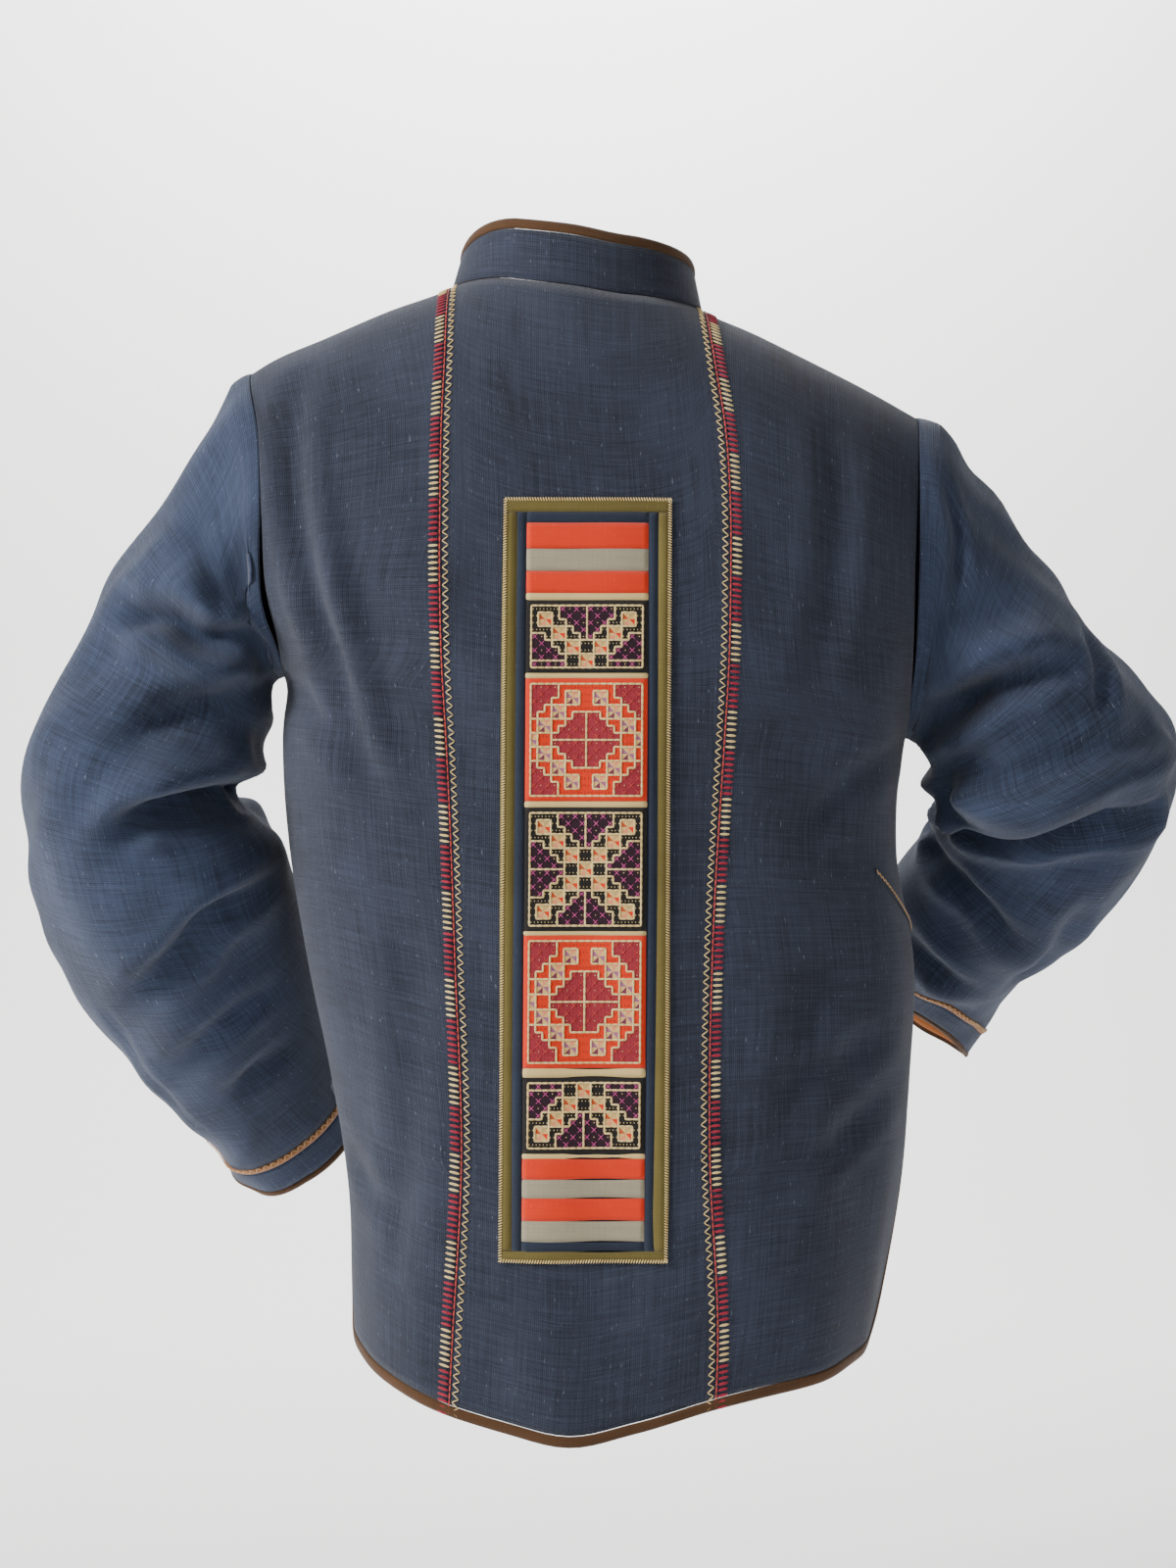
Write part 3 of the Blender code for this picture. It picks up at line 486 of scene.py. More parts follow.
LEFT_CREASES = [
    Crease(3.8, 3.6, 0.2, 0.1, [(0.158, 57), (0.163, 93), (0.183, 120)]),
    Crease(7.7, 14, 0.15, 1.0, [(0.292, 49), (0.287, 64), (0.246, 86), (0.212, 114), (0.06, 168)]),
    Crease(9.9, -8, 0.1, 0.6, [(0.20, 60), (0.185, 90), (0.15, 120), (0.05, 150)]),
    Crease(8.4, 8, 0.9, 0.1, [(0.167, 167), (0.304, 136), (0.383, 105), (0.425, 79)]),
    Crease(9.9, -10, 0.8, 0.1, [(0.396, 155), (0.442, 121), (0.483, 93)]),
    Crease(7.7, 16, 1.0, 0.1, [(0.471, 178), (0.487, 131), (0.508, 102), (0.542, 88)]),
    Crease(9.9, -10, 0.8, 0.1, [(0.583, 178), (0.558, 149), (0.567, 118)]),
    Crease(8.4, 13, 1.0, 0.1, [(0.654, 165), (0.658, 121), (0.692, 98), (0.729, 67)]),
    Crease(6.8, 7, 0.9, 0.1, [(0.9, 150), (0.871, 105), (0.887, 78)]),
    Crease(6.8, 6, 0.2, 0.1, [(0.80, 140), (0.79, 100), (0.83, 60)]),
    Crease(3.1, 2, 0.6, 0.6, [(0.746, 43), (0.8, 40), (0.854, 40), (0.93, 42)]),
    Crease(8.4, 10, 1.0, 0.1, [(0.20, -175), (0.28, -130), (0.36, -80)]),
    Crease(8.4, 14, 1.0, 0.1, [(0.48, -178), (0.50, -130), (0.53, -80)]),
    Crease(8.4, 12, 1.0, 0.1, [(0.66, -170), (0.68, -120), (0.72, -70)]),
    Crease(7.7, 8, 1.0, 0.1, [(0.86, -165), (0.85, -110), (0.88, -60)]),
]
RIGHT_CREASES = [
    Crease(3.8, 4.4, 0.3, 0.1, [(0.062, 58), (0.104, 68), (0.125, 84), (0.129, 98)]),
    Crease(7.7, 14, 0.1, 1.0, [(0.346, 59), (0.308, 85), (0.237, 110), (0.158, 145)]),
    Crease(7.7, 16, 0.2, 1.0, [(0.33, 92), (0.254, 121), (0.154, 160)]),
    Crease(9.9, -8, 0.1, 0.8, [(0.27, 60), (0.22, 84), (0.15, 112), (0.08, 140)]),
    Crease(5.4, 6, 0.1, 0.1, [(0.325, 24), (0.379, 51), (0.412, 68)]),
    Crease(10.7, -14, 0.4, 1.0, [(0.50, 30), (0.478, 88), (0.47, 120), (0.43, 145)]),
    Crease(6.8, 18, 0.5, 1.0, [(0.545, 50), (0.537, 99), (0.548, 120), (0.56, 160)]),
    Crease(7.7, 8, 0.9, 0.1, [(0.72, 165), (0.70, 120), (0.72, 80)]),
    Crease(7.7, 7, 0.9, 0.1, [(0.87, 160), (0.85, 115), (0.86, 70)]),
    Crease(6.8, 6, 0.2, 0.2, [(0.62, 70), (0.72, 50), (0.84, 45)]),
    Crease(8.4, 12, 1.0, 0.1, [(0.30, -175), (0.34, -130), (0.38, -80)]),
    Crease(8.4, 14, 1.0, 0.1, [(0.52, -178), (0.54, -130), (0.55, -80)]),
    Crease(8.4, 12, 1.0, 0.1, [(0.72, -170), (0.72, -120), (0.74, -70)]),
]

# Seam bands: outer bars, the line between, and the inner zigzag; they run from just above the
# hem on each face to just short of the shoulder line, in rows of the panels
BAR_LENGTH = 6.2
BAR_PITCH = 3.3
BAR_GROUPS = (8, 7)
LINE_STITCH = 4.2
ZIGZAG_PITCH = 2.5
ZIGZAG_NEAR = 1.2
ZIGZAG_FAR = 4.9
BAND_FOOT = 0.002
BAND_TOP = 1.985
BAR_START = 0.7
BAR_END = BAR_LENGTH + 0.5
LINE_PLACE = 0.1

# Counted-thread motif: one quarter from its outer corner (top left) to the middle. S is a
# square of split patches, c a dotted channel and b a crossed block
QUARTER = (
    "ccccbbbb",
    "cSScbbbb",
    "cSSccbbb",
    "cccSScbb",
    "bbcSSccb",
    "bbbccSSc",
    "bbbbcSSc",
    "bbbbbccS",
)
CHART_MARGIN = 3.0
CELLS = 16

# Whip stitches over the strip's edge: pitch, how far out and back they reach, and their slant
WHIP_START = 0.6
WHIP_PITCH = 1.5
WHIP_OUT = 0.7
WHIP_BACK = 1.7
WHIP_SLANT = 0.5

# Top of the side vents, as a share of the way up to the foot of the arch
VENT_TOP = 0.3325
VENT_STEPS_FINE = 24
VENT_TURN = 0.010
VENT_EASE = 0.006


def near_run(points, run):
    """Distance from each point to a run of points, and its share of the way along the run."""
    best = np.full(points.shape[:-1], 1e9)
    share = 0 * best
    last = len(run) - 1
    for number in range(last):
        start, step = run[number], run[number + 1] - run[number]
        part = np.clip(((points - start) @ step) / (step @ step), 0, 1)
        away = np.linalg.norm(points - start - part[..., None] * step, axis=-1)
        share = np.where(away < best, (number + part) / last, share)
        best = np.minimum(away, best)
    return best, share


def smooth_run(run, place):
    """A crease's run as points on the skin, 25 from end to end."""
    first, second = np.transpose(np.array(run, float))
    stops = np.linspace(0, 1, len(run))
    at = np.linspace(0, 1, 25)
    return place(curve(stops, first, at), curve(stops, second, at))


def crease_depth(points, creases):
    """How far the creases take each point in."""
    total = np.zeros(points.shape[:-1])
    for width, depth, first, last, run in creases:
        away, share = near_run(points, run)
        strength = np.interp(share, (0, 0.3, 0.7, 1), (first, 1, 1, last))
        reach = away / width
        ridge = np.exp(-((reach - RIDGE_PLACE) / RIDGE_WIDTH) ** 2)
        trough = np.exp(-reach ** 2) - RIDGE_SHARE * ridge
        total += depth * strength * trough
    return total


def soft_waves(points, seed, lengths, level):
    """Gentle waves through space; level flattens their way up, so that folds hang."""
    chance = np.random.default_rng(seed)
    total = np.zeros(points.shape[:-1])
    for length in lengths:
        way = chance.normal(size=3) * (1, 1, level)
        way *= 2 * pi / length / np.linalg.norm(way)
        total += np.sin(points @ way + chance.uniform(0, 2 * pi)) * length / lengths[0]
    return total


def laid_creases(creases, place):
    return [(c.width, c.depth, c.first, c.last, smooth_run(c.run, place)) for c in creases]


def body_place(face):
    def place(x, z):
        low, high = 0 * x, 2 + 0 * x
        for _ in range(26):
            row = (low + high) / 2
            below = plain_skin(x, row, face)[..., 2] < z
            low = np.where(below, row, low)
            high = np.where(below, high, row)
        return plain_skin(x, row, face)
    return place


def sleeve_place(side):
    return lambda along, degrees: sleeve_skin(side, along, (180 - degrees) / 360)


BODY_FOLDS = laid_creases(BACK_CREASES, body_place(1)) + laid_creases(FRONT_CREASES,
                                                                      body_place(-1))
SLEEVE_FOLDS = {1: laid_creases(LEFT_CREASES, sleeve_place(1)),
                -1: laid_creases(RIGHT_CREASES, sleeve_place(-1))}


def hang(points):
    """How far the body's cloth stands in at each point."""
    waves = soft_waves(points, 11, HANG_WAVES, 0.25) * HANG_DEPTH
    still = np.clip((points[..., 2] + 90) / -80, 0, 1)
    return crease_depth(points, BODY_FOLDS) + waves * still


def sleeve_hang(side):
    def depth(points):
        start = side * points[..., 0] - (176 if side > 0 else 200)
        eased = np.clip(start / 30, 0, 1)
        waves = soft_waves(points, 23 + side, SLEEVE_WAVES, 0.8) * SLEEVE_DEPTH
        return crease_depth(points, SLEEVE_FOLDS[side]) * eased + waves * eased
    return depth


def still(points):
    return np.zeros(points.shape[:-1])


def ways_out(across, along):
    way = np.cross(across, along)
    return way / np.linalg.norm(way, axis=-1, keepdims=True)


def worn(skin, depth, lift=0.0, turned=1):
    """A skin with its folds, lifted by so many millimetres, and the ways out of it.

    turned is -1 for a skin laid out the other way round, whose ways would point inwards.
    """
    step = 0.004

    def points(u, v):
        point = skin(u, v)
        across = skin(u + step, v) - skin(u - step, v)
        way = turned * ways_out(across, skin(u, v + step) - skin(u, v - step))
        return point + way * (lift - depth(point))[..., None], way

    return points


# ---- materials ----

def linear(hex_colour):
    """An sRGB hex colour as linear red, green, blue and alpha."""
    parts = [int(hex_colour[i:i + 2], 16) / 255 for i in (1, 3, 5)]
    return tuple(c / 12.92 if c <= 0.04045 else ((c + 0.055) / 1.055) ** 2.4
                 for c in parts) + (1.0,)


def add(tree, kind, inputs, **settings):
    """Adds a shader node; inputs gives its sockets values or the sockets that feed them."""
    node = tree.nodes.new("ShaderNode" + kind)
    for name, value in settings.items():
        setattr(node, name, value)
    for socket, value in inputs.items():
        if isinstance(value, bpy.types.NodeSocket):
            tree.links.new(value, node.inputs[socket])
        else:
            node.inputs[socket].default_value = value
    return node


def steps(node, *stops):
    """Sets a colour ramp's stops: position and grey level, or position and colour."""
    ramp = node.color_ramp
    while len(ramp.elements) < len(stops):
        ramp.elements.new(0.5)
    for element, (position, value) in zip(ramp.elements, stops):
        element.position = position
        element.color = linear(value) if isinstance(value, str) else (value,) * 3 + (1,)
    return node.outputs["Color"]


def woven(name, dark, light, fleck, thread, streak=0.5, slub=0.5, bump=0.25, rough=0.9,
          sheen=0.15):
    """A plain-woven cloth: streaked yarn, slubs, and painted highlight where warp and weft rise.
    """
    material = bpy.data.materials.new(name)
    material.use_nodes = True
    tree = material.node_tree
    surface = tree.nodes["Principled BSDF"]
    place = add(tree, "TexCoord", {}).outputs["UV"]
    cloth_mm = add(tree, "VectorMath", {0: place, 1: (1000, 1000, 0)},
                   operation="MULTIPLY").outputs[0]
    band = 0.31416 / thread

    def noise(stretch, scale, detail, rough_noise=0.6):
        stretched = add(tree, "VectorMath", {0: cloth_mm, 1: stretch}, operation="MULTIPLY")
        return add(tree, "TexNoise", {"Vector": stretched.outputs[0], "Scale": scale,
                                      "Detail": detail, "Roughness": rough_noise}).outputs[0]

    def threads(direction):
        return add(tree, "TexWave", {"Vector": cloth_mm, "Scale": band, "Distortion": 1.2,
                                     "Detail": 2.0, "Detail Scale": 1.4},
                   bands_direction=direction).outputs["Fac"]

    warp, weft = threads("X"), threads("Y")
    crossing_and_highlight = add(tree, "Math", {0: warp, 1: weft}, operation="ADD").outputs[0]
    crossing_and_highlight = add(tree, "Math", {0: crossing_and_highlight, 1: 0.5}, operation="MULTIPLY").outputs[0]
    warp_streak = noise((1 / thread, 0.02, 1), 0.9, 4)
    weft_streak = noise((0.03, 1 / thread, 1), 0.9, 3)
    wash = noise((1, 1, 1), 0.010, 4)
    streaks = add(tree, "Math", {0: warp_streak, 1: weft_streak}, operation="ADD").outputs[0]
    tone = add(tree, "Math", {0: streaks, 1: streak, 2: 0.5 - streak},
               operation="MULTIPLY_ADD").outputs[0]
    tone = add(tree, "Math", {0: wash, 1: 0.9, 2: tone}, operation="MULTIPLY_ADD").outputs[0]
    # Painted highlight: the crossing's raised threads, which are also the bump's height, are
    # painted lighter
    tone = add(tree, "Math", {0: crossing_and_highlight, 1: 0.34, 2: tone}, operation="MULTIPLY_ADD").outputs[0]
    tone = add(tree, "Math", {0: tone, 1: -0.62}, operation="ADD").outputs[0]
    base = add(tree, "Mix", {0: tone, 6: linear(dark), 7: linear(light)}, data_type="RGBA")
    flecks = noise((0.9, 0.22, 1), 0.85, 2)
    flecks = steps(add(tree, "ValToRGB", {"Fac": flecks}), (0.66, 0.0), (0.76, slub))
    colour = add(tree, "Mix", {0: flecks, 6: base.outputs[2], 7: linear(fleck)},
                 data_type="RGBA").outputs[2]
    tree.links.new(colour, surface.inputs["Base Color"])
    height = add(tree, "Math", {0: warp_streak, 1: 0.9, 2: crossing_and_highlight}, operation="MULTIPLY_ADD")
    raised = add(tree, "Bump", {"Strength": bump, "Distance": 0.0006,
                                "Height": height.outputs[0]})
    tree.links.new(raised.outputs[0], surface.inputs["Normal"])
    surface.inputs["Roughness"].default_value = rough
    surface.inputs["Specular IOR Level"].default_value = 0.25
    surface.inputs["Sheen Weight"].default_value = sheen
    surface.inputs["Sheen Roughness"].default_value = 0.5
    return material


def spun(name, dark, light, twist=1.1):
    """Embroidery thread: soft twisted cotton, with painted highlight on the tops of its plies."""
    material = bpy.data.materials.new(name)
    material.use_nodes = True
    tree = material.node_tree
    surface = tree.nodes["Principled BSDF"]
    place = add(tree, "TexCoord", {}).outputs["Object"]
    plies_and_highlight = add(tree, "TexNoise", {"Vector": place, "Scale": 1000 / twist, "Detail": 3.0})
    shade = add(tree, "TexNoise", {"Vector": place, "Scale": 90.0, "Detail": 2.0}).outputs[0]
    # Painted highlight: the plies' tops, which are also the bump's height, are painted lighter
    tone = add(tree, "Math", {0: plies_and_highlight.outputs[0], 1: shade}, operation="ADD").outputs[0]
    tone = add(tree, "Math", {0: tone, 1: -0.5}, operation="ADD").outputs[0]
    colour = add(tree, "Mix", {0: tone, 6: linear(dark), 7: linear(light)}, data_type="RGBA")
    tree.links.new(colour.outputs[2], surface.inputs["Base Color"])
    raised = add(tree, "Bump", {"Strength": 0.3, "Distance": 0.0004, "Height": plies_and_highlight.outputs[0]})
    tree.links.new(raised.outputs[0], surface.inputs["Normal"])
    surface.inputs["Roughness"].default_value = 0.75
    surface.inputs["Specular IOR Level"].default_value = 0.3
    surface.inputs["Sheen Weight"].default_value = 0.2
    return material


finishes = {
    # Handwoven hemp dyed in indigo: uneven yarn gives upright streaks and pale slubs
    "indigo_hemp": woven("indigo_hemp_handwoven", "#0c0e15", "#41475a", "#8c93a4", 1.1,
                         streak=0.85, slub=0.4, bump=0.5),
    # Sleeves and cuffs: the same hemp in a lighter, bluer copy, which is painted light on the lit
    # sleeves
    "indigo_hemp_painted_lit_sleeve": woven("indigo_hemp_handwoven_painted_lit_sleeve", "#0d1019", "#485470",
                                "#949eb2", 1.1, streak=0.85, slub=0.45, bump=0.5),
    # Brown cotton binding cut on the straight: plain and matt, paler where it is rubbed
    "brown_binding": woven("brown_cotton_binding", "#2c1c10", "#684628", "#86623c", 0.6,
                           slub=0.3),
    # Copper-brown cotton trim: a fine weave with a slight shine
    "copper_trim": woven("copper_brown_cotton", "#7a4a26", "#b47a48", "#d09a66", 0.6,
                         slub=0.3, sheen=0.3),
    # Orange-brown cotton facing: flat and even, on the inside of the cuffs
    "orange_facing": woven("orange_brown_cotton", "#8f4a22", "#c87838", "#d89050", 0.6,
                           slub=0.2),
    # Olive-gold cotton: washed, with the ground showing through
    "olive_cotton": woven("olive_cotton_washed", "#463c1a", "#80723c", "#9c8e58", 0.6,
                          slub=0.35),
    "navy_cotton": woven("navy_cotton_washed", "#12161f", "#323b4e", "#5c6678", 0.6,
                         slub=0.3),
    # Orange-red cotton: bright and even, with slightly worn ridges
    "orange_cotton": woven("orange_red_cotton", "#c02200", "#ff3c0c", "#ff6a3c", 0.55,
                           streak=0.3, slub=0.3, sheen=0.3),
    "grey_cotton": woven("beige_grey_cotton", "#7c7460", "#bab096", "#d2c8a8", 0.6, slub=0.3),
    "cream_cotton": woven("cream_cotton", "#c8a564", "#f0d898", "#fae8b8", 0.55, slub=0.2),
    "black_cotton": woven("black_cotton_ground", "#100e0d", "#2c2826", "#4a4440", 0.55,
                          slub=0.2),
    # Counted-thread work: filled patches in loosely spun cotton
    "rust_patch": woven("rust_thread_patch", "#a83818", "#d8602e", "#e88850", 0.8, sheen=0.3),
    "salmon_patch": woven("salmon_thread_patch", "#e07850", "#f8a880", "#ffc8a0", 0.8,
                          sheen=0.3),
    "green_patch": woven("pale_green_thread_patch", "#a88c48", "#dcc080", "#ecd8a0", 0.8,
                         sheen=0.3),
    "aubergine_patch": woven("aubergine_thread_patch", "#180a12", "#341626", "#50283c", 0.8,
                             sheen=0.3),
    "wine_patch": woven("wine_thread_patch", "#7a1c28", "#b03440", "#c85860", 0.8, sheen=0.3),
    "mauve_patch": woven("mauve_thread_patch", "#8a4468", "#b87898", "#d098b4", 0.8, sheen=0.3),
    "plum_patch": woven("plum_thread_patch", "#5a2038", "#8a3c58", "#a85c78", 0.8, sheen=0.3),
    "ivory_patch": woven("ivory_thread_patch", "#cc9850", "#f4d490", "#fce4b0", 0.8, sheen=0.3),
    "cream_thread": spun("cream_cotton_thread", "#c8a460", "#fae2a4"),
    "red_thread": spun("red_cotton_thread", "#780e22", "#bc2440"),
    "coral_thread": spun("coral_cotton_thread", "#a02824", "#d85048"),
    "tan_thread": spun("tan_cotton_cord", "#a87c50", "#dcb888"),
    "pink_thread": spun("pink_cotton_thread", "#a02868", "#d8609c"),
    "rust_thread": spun("rust_cotton_thread", "#6e2412", "#a8482a"),
    "brown_thread": spun("brown_cotton_cord", "#4a3020", "#8a6038"),
}


# ---- cloth and stitches ----

cuts = {}


def keep(piece, finish, record_slot, nodes):
    """Gives a finished piece its material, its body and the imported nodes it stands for."""
    piece.data.materials.append(finishes[finish])
    bpy.context.scene.collection.objects.link(piece)
    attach(piece, "root")
    if nodes:
        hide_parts(*nodes)
    return piece


def cloth(name, finish, skin, columns, rows, nodes=(), wall=CLOTH_WALL, proud=0.0,
          joined=False, depth=still, lift=0.0, record_slot=None, round_edge=0.0):
    """A wall of cloth on skin(u, v), laid out in its own threads and thickened inwards."""
    sheet = bmesh.new()
    bmesh.ops.create_grid(sheet, x_segments=columns, y_segments=rows, size=0.5)
    sheet.verts.ensure_lookup_table()
    places = np.array([vertex.co[:2] for vertex in sheet.verts]) + 0.5
    u, v = places[:, 0], places[:, 1]
    points, ways = worn(skin, depth, lift)(u, v)
    points = points + ways * (round_edge * np.sin(pi * v))[:, None]
    column = np.rint(u * columns).astype(int)
    row = np.rint(v * rows).astype(int)
    table = np.zeros((rows + 1, columns + 1, 3))
    table[row, column] = points
    across = np.cumsum(np.linalg.norm(np.diff(table, axis=1), axis=-1), axis=1)
    across = np.hstack([np.zeros((rows + 1, 1)), across])
    across -= across[:, columns // 2:columns // 2 + 1]
    along = np.cumsum(np.linalg.norm(np.diff(table, axis=0), axis=-1), axis=0).mean(axis=1)
    along = np.concatenate([[0], along])
    threads = np.stack([across[row, column], along[row]], -1) * MM
    for vertex, point in zip(sheet.verts, points * MM):
        vertex.co = point
    layout = sheet.loops.layers.uv.new("threads")
    for face in sheet.faces:
        face.smooth = True
        for loop in face.loops:
            loop[layout].uv = threads[loop.vert.index]
    if joined:
        bmesh.ops.remove_doubles(sheet, verts=sheet.verts, dist=1e-6)
    mesh = bpy.data.meshes.new(name)
    sheet.to_mesh(mesh)
    sheet.free()
    piece = bpy.data.objects.new(name, mesh)
    solid = piece.modifiers.new("wall", "SOLIDIFY")
    solid.thickness = wall * MM
    solid.offset = -1 + 2 * proud / wall
    size = [float(np.ptp(threads[:, 0])), float(np.ptp(threads[:, 1]))]
    steps_u = np.linalg.norm(np.diff(table, axis=1), axis=-1)
    steps_v = np.linalg.norm(np.diff(table, axis=0), axis=-1)
    area = float((steps_u[:-1] * steps_v[:, :-1]).sum()) * 1e-6
    cuts[name] = (size, area)
    return keep(piece, finish, record_slot or finish, nodes)


def stitch(some, start, end, way, width, height):
    """One thread from start to end, lying on the cloth."""
    run = Vector(end - start)
    length = run.length
    along = run.normalized()
    up = Vector(way)
    up = (up - along * up.dot(along)).normalized()
    side = up.cross(along)
    middle = Vector(start + end) / 2
    matrix = Matrix((side * width, up * height, along * length)).transposed().to_4x4()
    matrix.translation = middle
    bmesh.ops.create_uvsphere(some, u_segments=6, v_segments=4, radius=0.5, matrix=matrix)


def sew(name, finish, starts, ends, ways, width, height, record_slot):
    """Joins many threads into one piece: starts and ends in millimetres, ways out of the cloth."""
    whole = bmesh.new()
    scrap = bpy.data.meshes.new("scrap")
    for first in range(0, len(starts), 50):
        some = bmesh.new()
        for start, end, way in zip(starts[first:first + 50], ends[first:first + 50],
                                   ways[first:first + 50]):
            stitch(some, start * MM, end * MM, way, width * MM, height * MM)
        some.to_mesh(scrap)
        some.free()
        whole.from_mesh(scrap)
    bpy.data.meshes.remove(scrap)
    for face in whole.faces:
        face.smooth = True
    mesh = bpy.data.meshes.new(name)
    whole.to_mesh(mesh)
    whole.free()
    return keep(bpy.data.objects.new(name, mesh), finish, record_slot, ())


def spaced(skin, u, pitch, start=0.0, end=1.0):
    """Values of v that divide a run up a skin at u into steps of one pitch."""
    v = np.linspace(start, end, 500)
    points = skin(u + 0 * v, v)
    run = np.concatenate([[0], np.cumsum(np.linalg.norm(np.diff(points, axis=0), axis=-1))])
    count = max(2, round(run[-1] / pitch))
    return np.interp(np.linspace(0, run[-1], count + 1), run, v)


def body_rows(v):
    """Row numbers up the back, over the shoulder and down the front, for v from 0 to 1."""
    turn = BODY_ROWS + ARCH_ROWS
    place = v * 2 * turn
    up = np.where(place <= turn, place, 2 * turn - place)
    row = np.where(up <= BODY_ROWS, up / BODY_ROWS, 1 + (up - BODY_ROWS) / ARCH_ROWS)
    return row, place <= turn


def crowd(across):
    """Brings a side panel's columns closer together towards its outer edge."""
    return 1 - (1 - np.clip(across, 0, 1)) ** SIDE_CROWD


def corner_lift(side, across):
    """Rounds the hem's corner at the vent."""
    away = VENT_CORNER - np.clip((1 - across) * PANEL_REACH[side], 0, VENT_CORNER)
    return VENT_CORNER - np.sqrt(VENT_CORNER ** 2 - away ** 2)


def lifted_hem(row, room=BOUND_ROOM):
    """Moves a middle panel's lowest rows up to leave room for the binding."""
    return row + room / BODY_HEIGHT * np.clip(1 - row, 0, 1)


def side_panel(side, name):
    def skin(u, v):
        across = crowd(1 - u if side > 0 else u)
        row, behind = body_rows(v)
        lifted = corner_lift(side, across) + BOUND_ROOM
        inset = BOUND_ROOM * np.clip((VENT_TOP - row) / VENT_EASE, 0, 1)
        back = side_skin(side, 1, across, row, lifted, inset)
        front = side_skin(side, -1, across, row, lifted, inset)
        return np.where(behind[..., None], back, front)

    cloth(f"{name}_cloth", "indigo_hemp", skin, SIDE_COLUMNS, 2 * (BODY_ROWS + ARCH_ROWS),
          [name], depth=hang)


def back_across(u):
    """Spaces the back's columns evenly round the neck."""
    return (1 - np.cos(pi * np.clip(u, 0, 1))) / 2


def front_across(part):
    """Spaces a front's columns evenly round the neck, from the band (0) to its edge (1)."""
    edge = FRONT_EDGE / NECK_HALF
    turn = blend(pi / 2, pi - np.arcsin(edge), np.clip(part, 0, 1))
    return (1 - np.sin(turn)) / (1 - edge)


def back_centre():
    left, right = ("band_left", -SEAM / 2), ("band_right", SEAM / 2)

    def skin(u, v):
        row, _behind = body_rows(np.clip(v, 0, 1) / 2)
        return middle_skin(left, right, 1, back_across(u), lifted_hem(row))

    cloth("back_centre_cloth", "indigo_hemp", skin, BACK_COLUMNS, BODY_ROWS + ARCH_ROWS,
          ["back_centre"], depth=hang)


def front_skin(side, part, row, edge=FRONT_EDGE):
    """A front, from its band (0) to its edge at the middle (1)."""
    band = ("band_left", -SEAM / 2) if side > 0 else ("band_right", SEAM / 2)
    return middle_skin(band, ("middle", side * edge), -1, front_across(part), row)


def front_panels():
    for side, name in ((1, "front_left"), (-1, "front_right")):
        def skin(u, v, side=side):
            row, _behind = body_rows(0.5 - np.clip(v, 0, 1) / 2)
            return front_skin(side, u if side > 0 else 1 - u, lifted_hem(row))

        cloth(f"{name}_cloth", "indigo_hemp", skin, FRONT_COLUMNS, BODY_ROWS + ARCH_ROWS,
              [name], depth=hang)


def side_edge(side, face, step, out):
    """The bound edge of a side panel: step counts the vent's rows, then the hem's columns."""
    step = np.clip(step, 0, VENT_STEPS_FINE + SIDE_COLUMNS)
    row = np.interp(step, (0, VENT_STEPS_FINE), (VENT_TOP - VENT_TURN, 0))
    across = crowd(1 - np.clip(step - VENT_STEPS_FINE, 0, SIDE_COLUMNS) / SIDE_COLUMNS)
    away = 1 - np.clip((1 - across) * PANEL_REACH[side] / VENT_CORNER, 0, 1)
    sideways = np.where(row > 0, 1.0, away)
    down = np.sqrt(1 - sideways ** 2)
    inset = BINDING * (1 - out * sideways)
    lifted = corner_lift(side, across) + BINDING * (1 - out * down)
    return side_skin(side, face, across, row, lifted, inset)


def bindings():
    """The hem's binding on the back, and each front's: its vent, its hem and its edge."""
    run = VENT_STEPS_FINE + SIDE_COLUMNS
    total = 2 * run + BACK_COLUMNS
    left, right = ("band_left", -SEAM / 2), ("band_right", SEAM / 2)

    def back(u, v):
        step = np.clip(u, 0, 1) * total
        out = 1 - v
        first = side_edge(1, 1, np.minimum(step, run), out)
        last = side_edge(-1, 1, np.minimum(total - step, run), out)
        across = back_across(np.clip((step - run) / BACK_COLUMNS, 0, 1))
        middle = middle_skin(left, right, 1, across, lifted_hem(0 * u, BINDING * (1 - out)))
        point = np.where((step <= run + 0.01)[..., None], first, middle)
        return np.where((step >= total - run - 0.01)[..., None], last, point)

    cloth("hem_binding_cloth", "brown_binding", back, total, 4, ["hem_binding_back"], TRIM_WALL,
          TRIM_PROUD, depth=hang, round_edge=0.5)
    rise = BODY_ROWS + ARCH_ROWS
    whole = run + FRONT_COLUMNS + rise
    for side, name in ((1, "left"), (-1, "right")):
        def front(u, v, side=side):
            step = np.clip(u if side > 0 else 1 - u, 0, 1) * whole
            vent = side_edge(side, -1, np.minimum(step, run), v)
            part = np.clip((step - run) / FRONT_COLUMNS, 0, 1)
            edge = FRONT_EDGE - (BOUND_SEAM + BINDING * v) * (part > 0.99)
            row, _behind = body_rows(np.clip(step - run - FRONT_COLUMNS, 0, rise) / rise / 2)
            at_hem = lifted_hem(0 * u, BINDING * (1 - v))
            row = np.where(row > 0, lifted_hem(row), at_hem)
            point = front_skin(side, part, row, edge)
            return np.where((step <= run + 0.01)[..., None], vent, point)

        cloth(f"front_binding_{name}_cloth", "brown_binding", front, whole, 4,
              [f"front_binding_{name}"], TRIM_WALL, TRIM_PROUD, depth=hang, round_edge=0.4)


def zigzag(skin, depth, u_steps, near, far, lift):
    """Threads that go to and fro across a line: near and far are v at each end of the teeth."""
    v = np.where(np.arange(len(u_steps)) % 2, near, far)
    points, ways = worn(skin, depth, lift)(u_steps, v)
    return points[:-1], points[1:], ways[:-1]


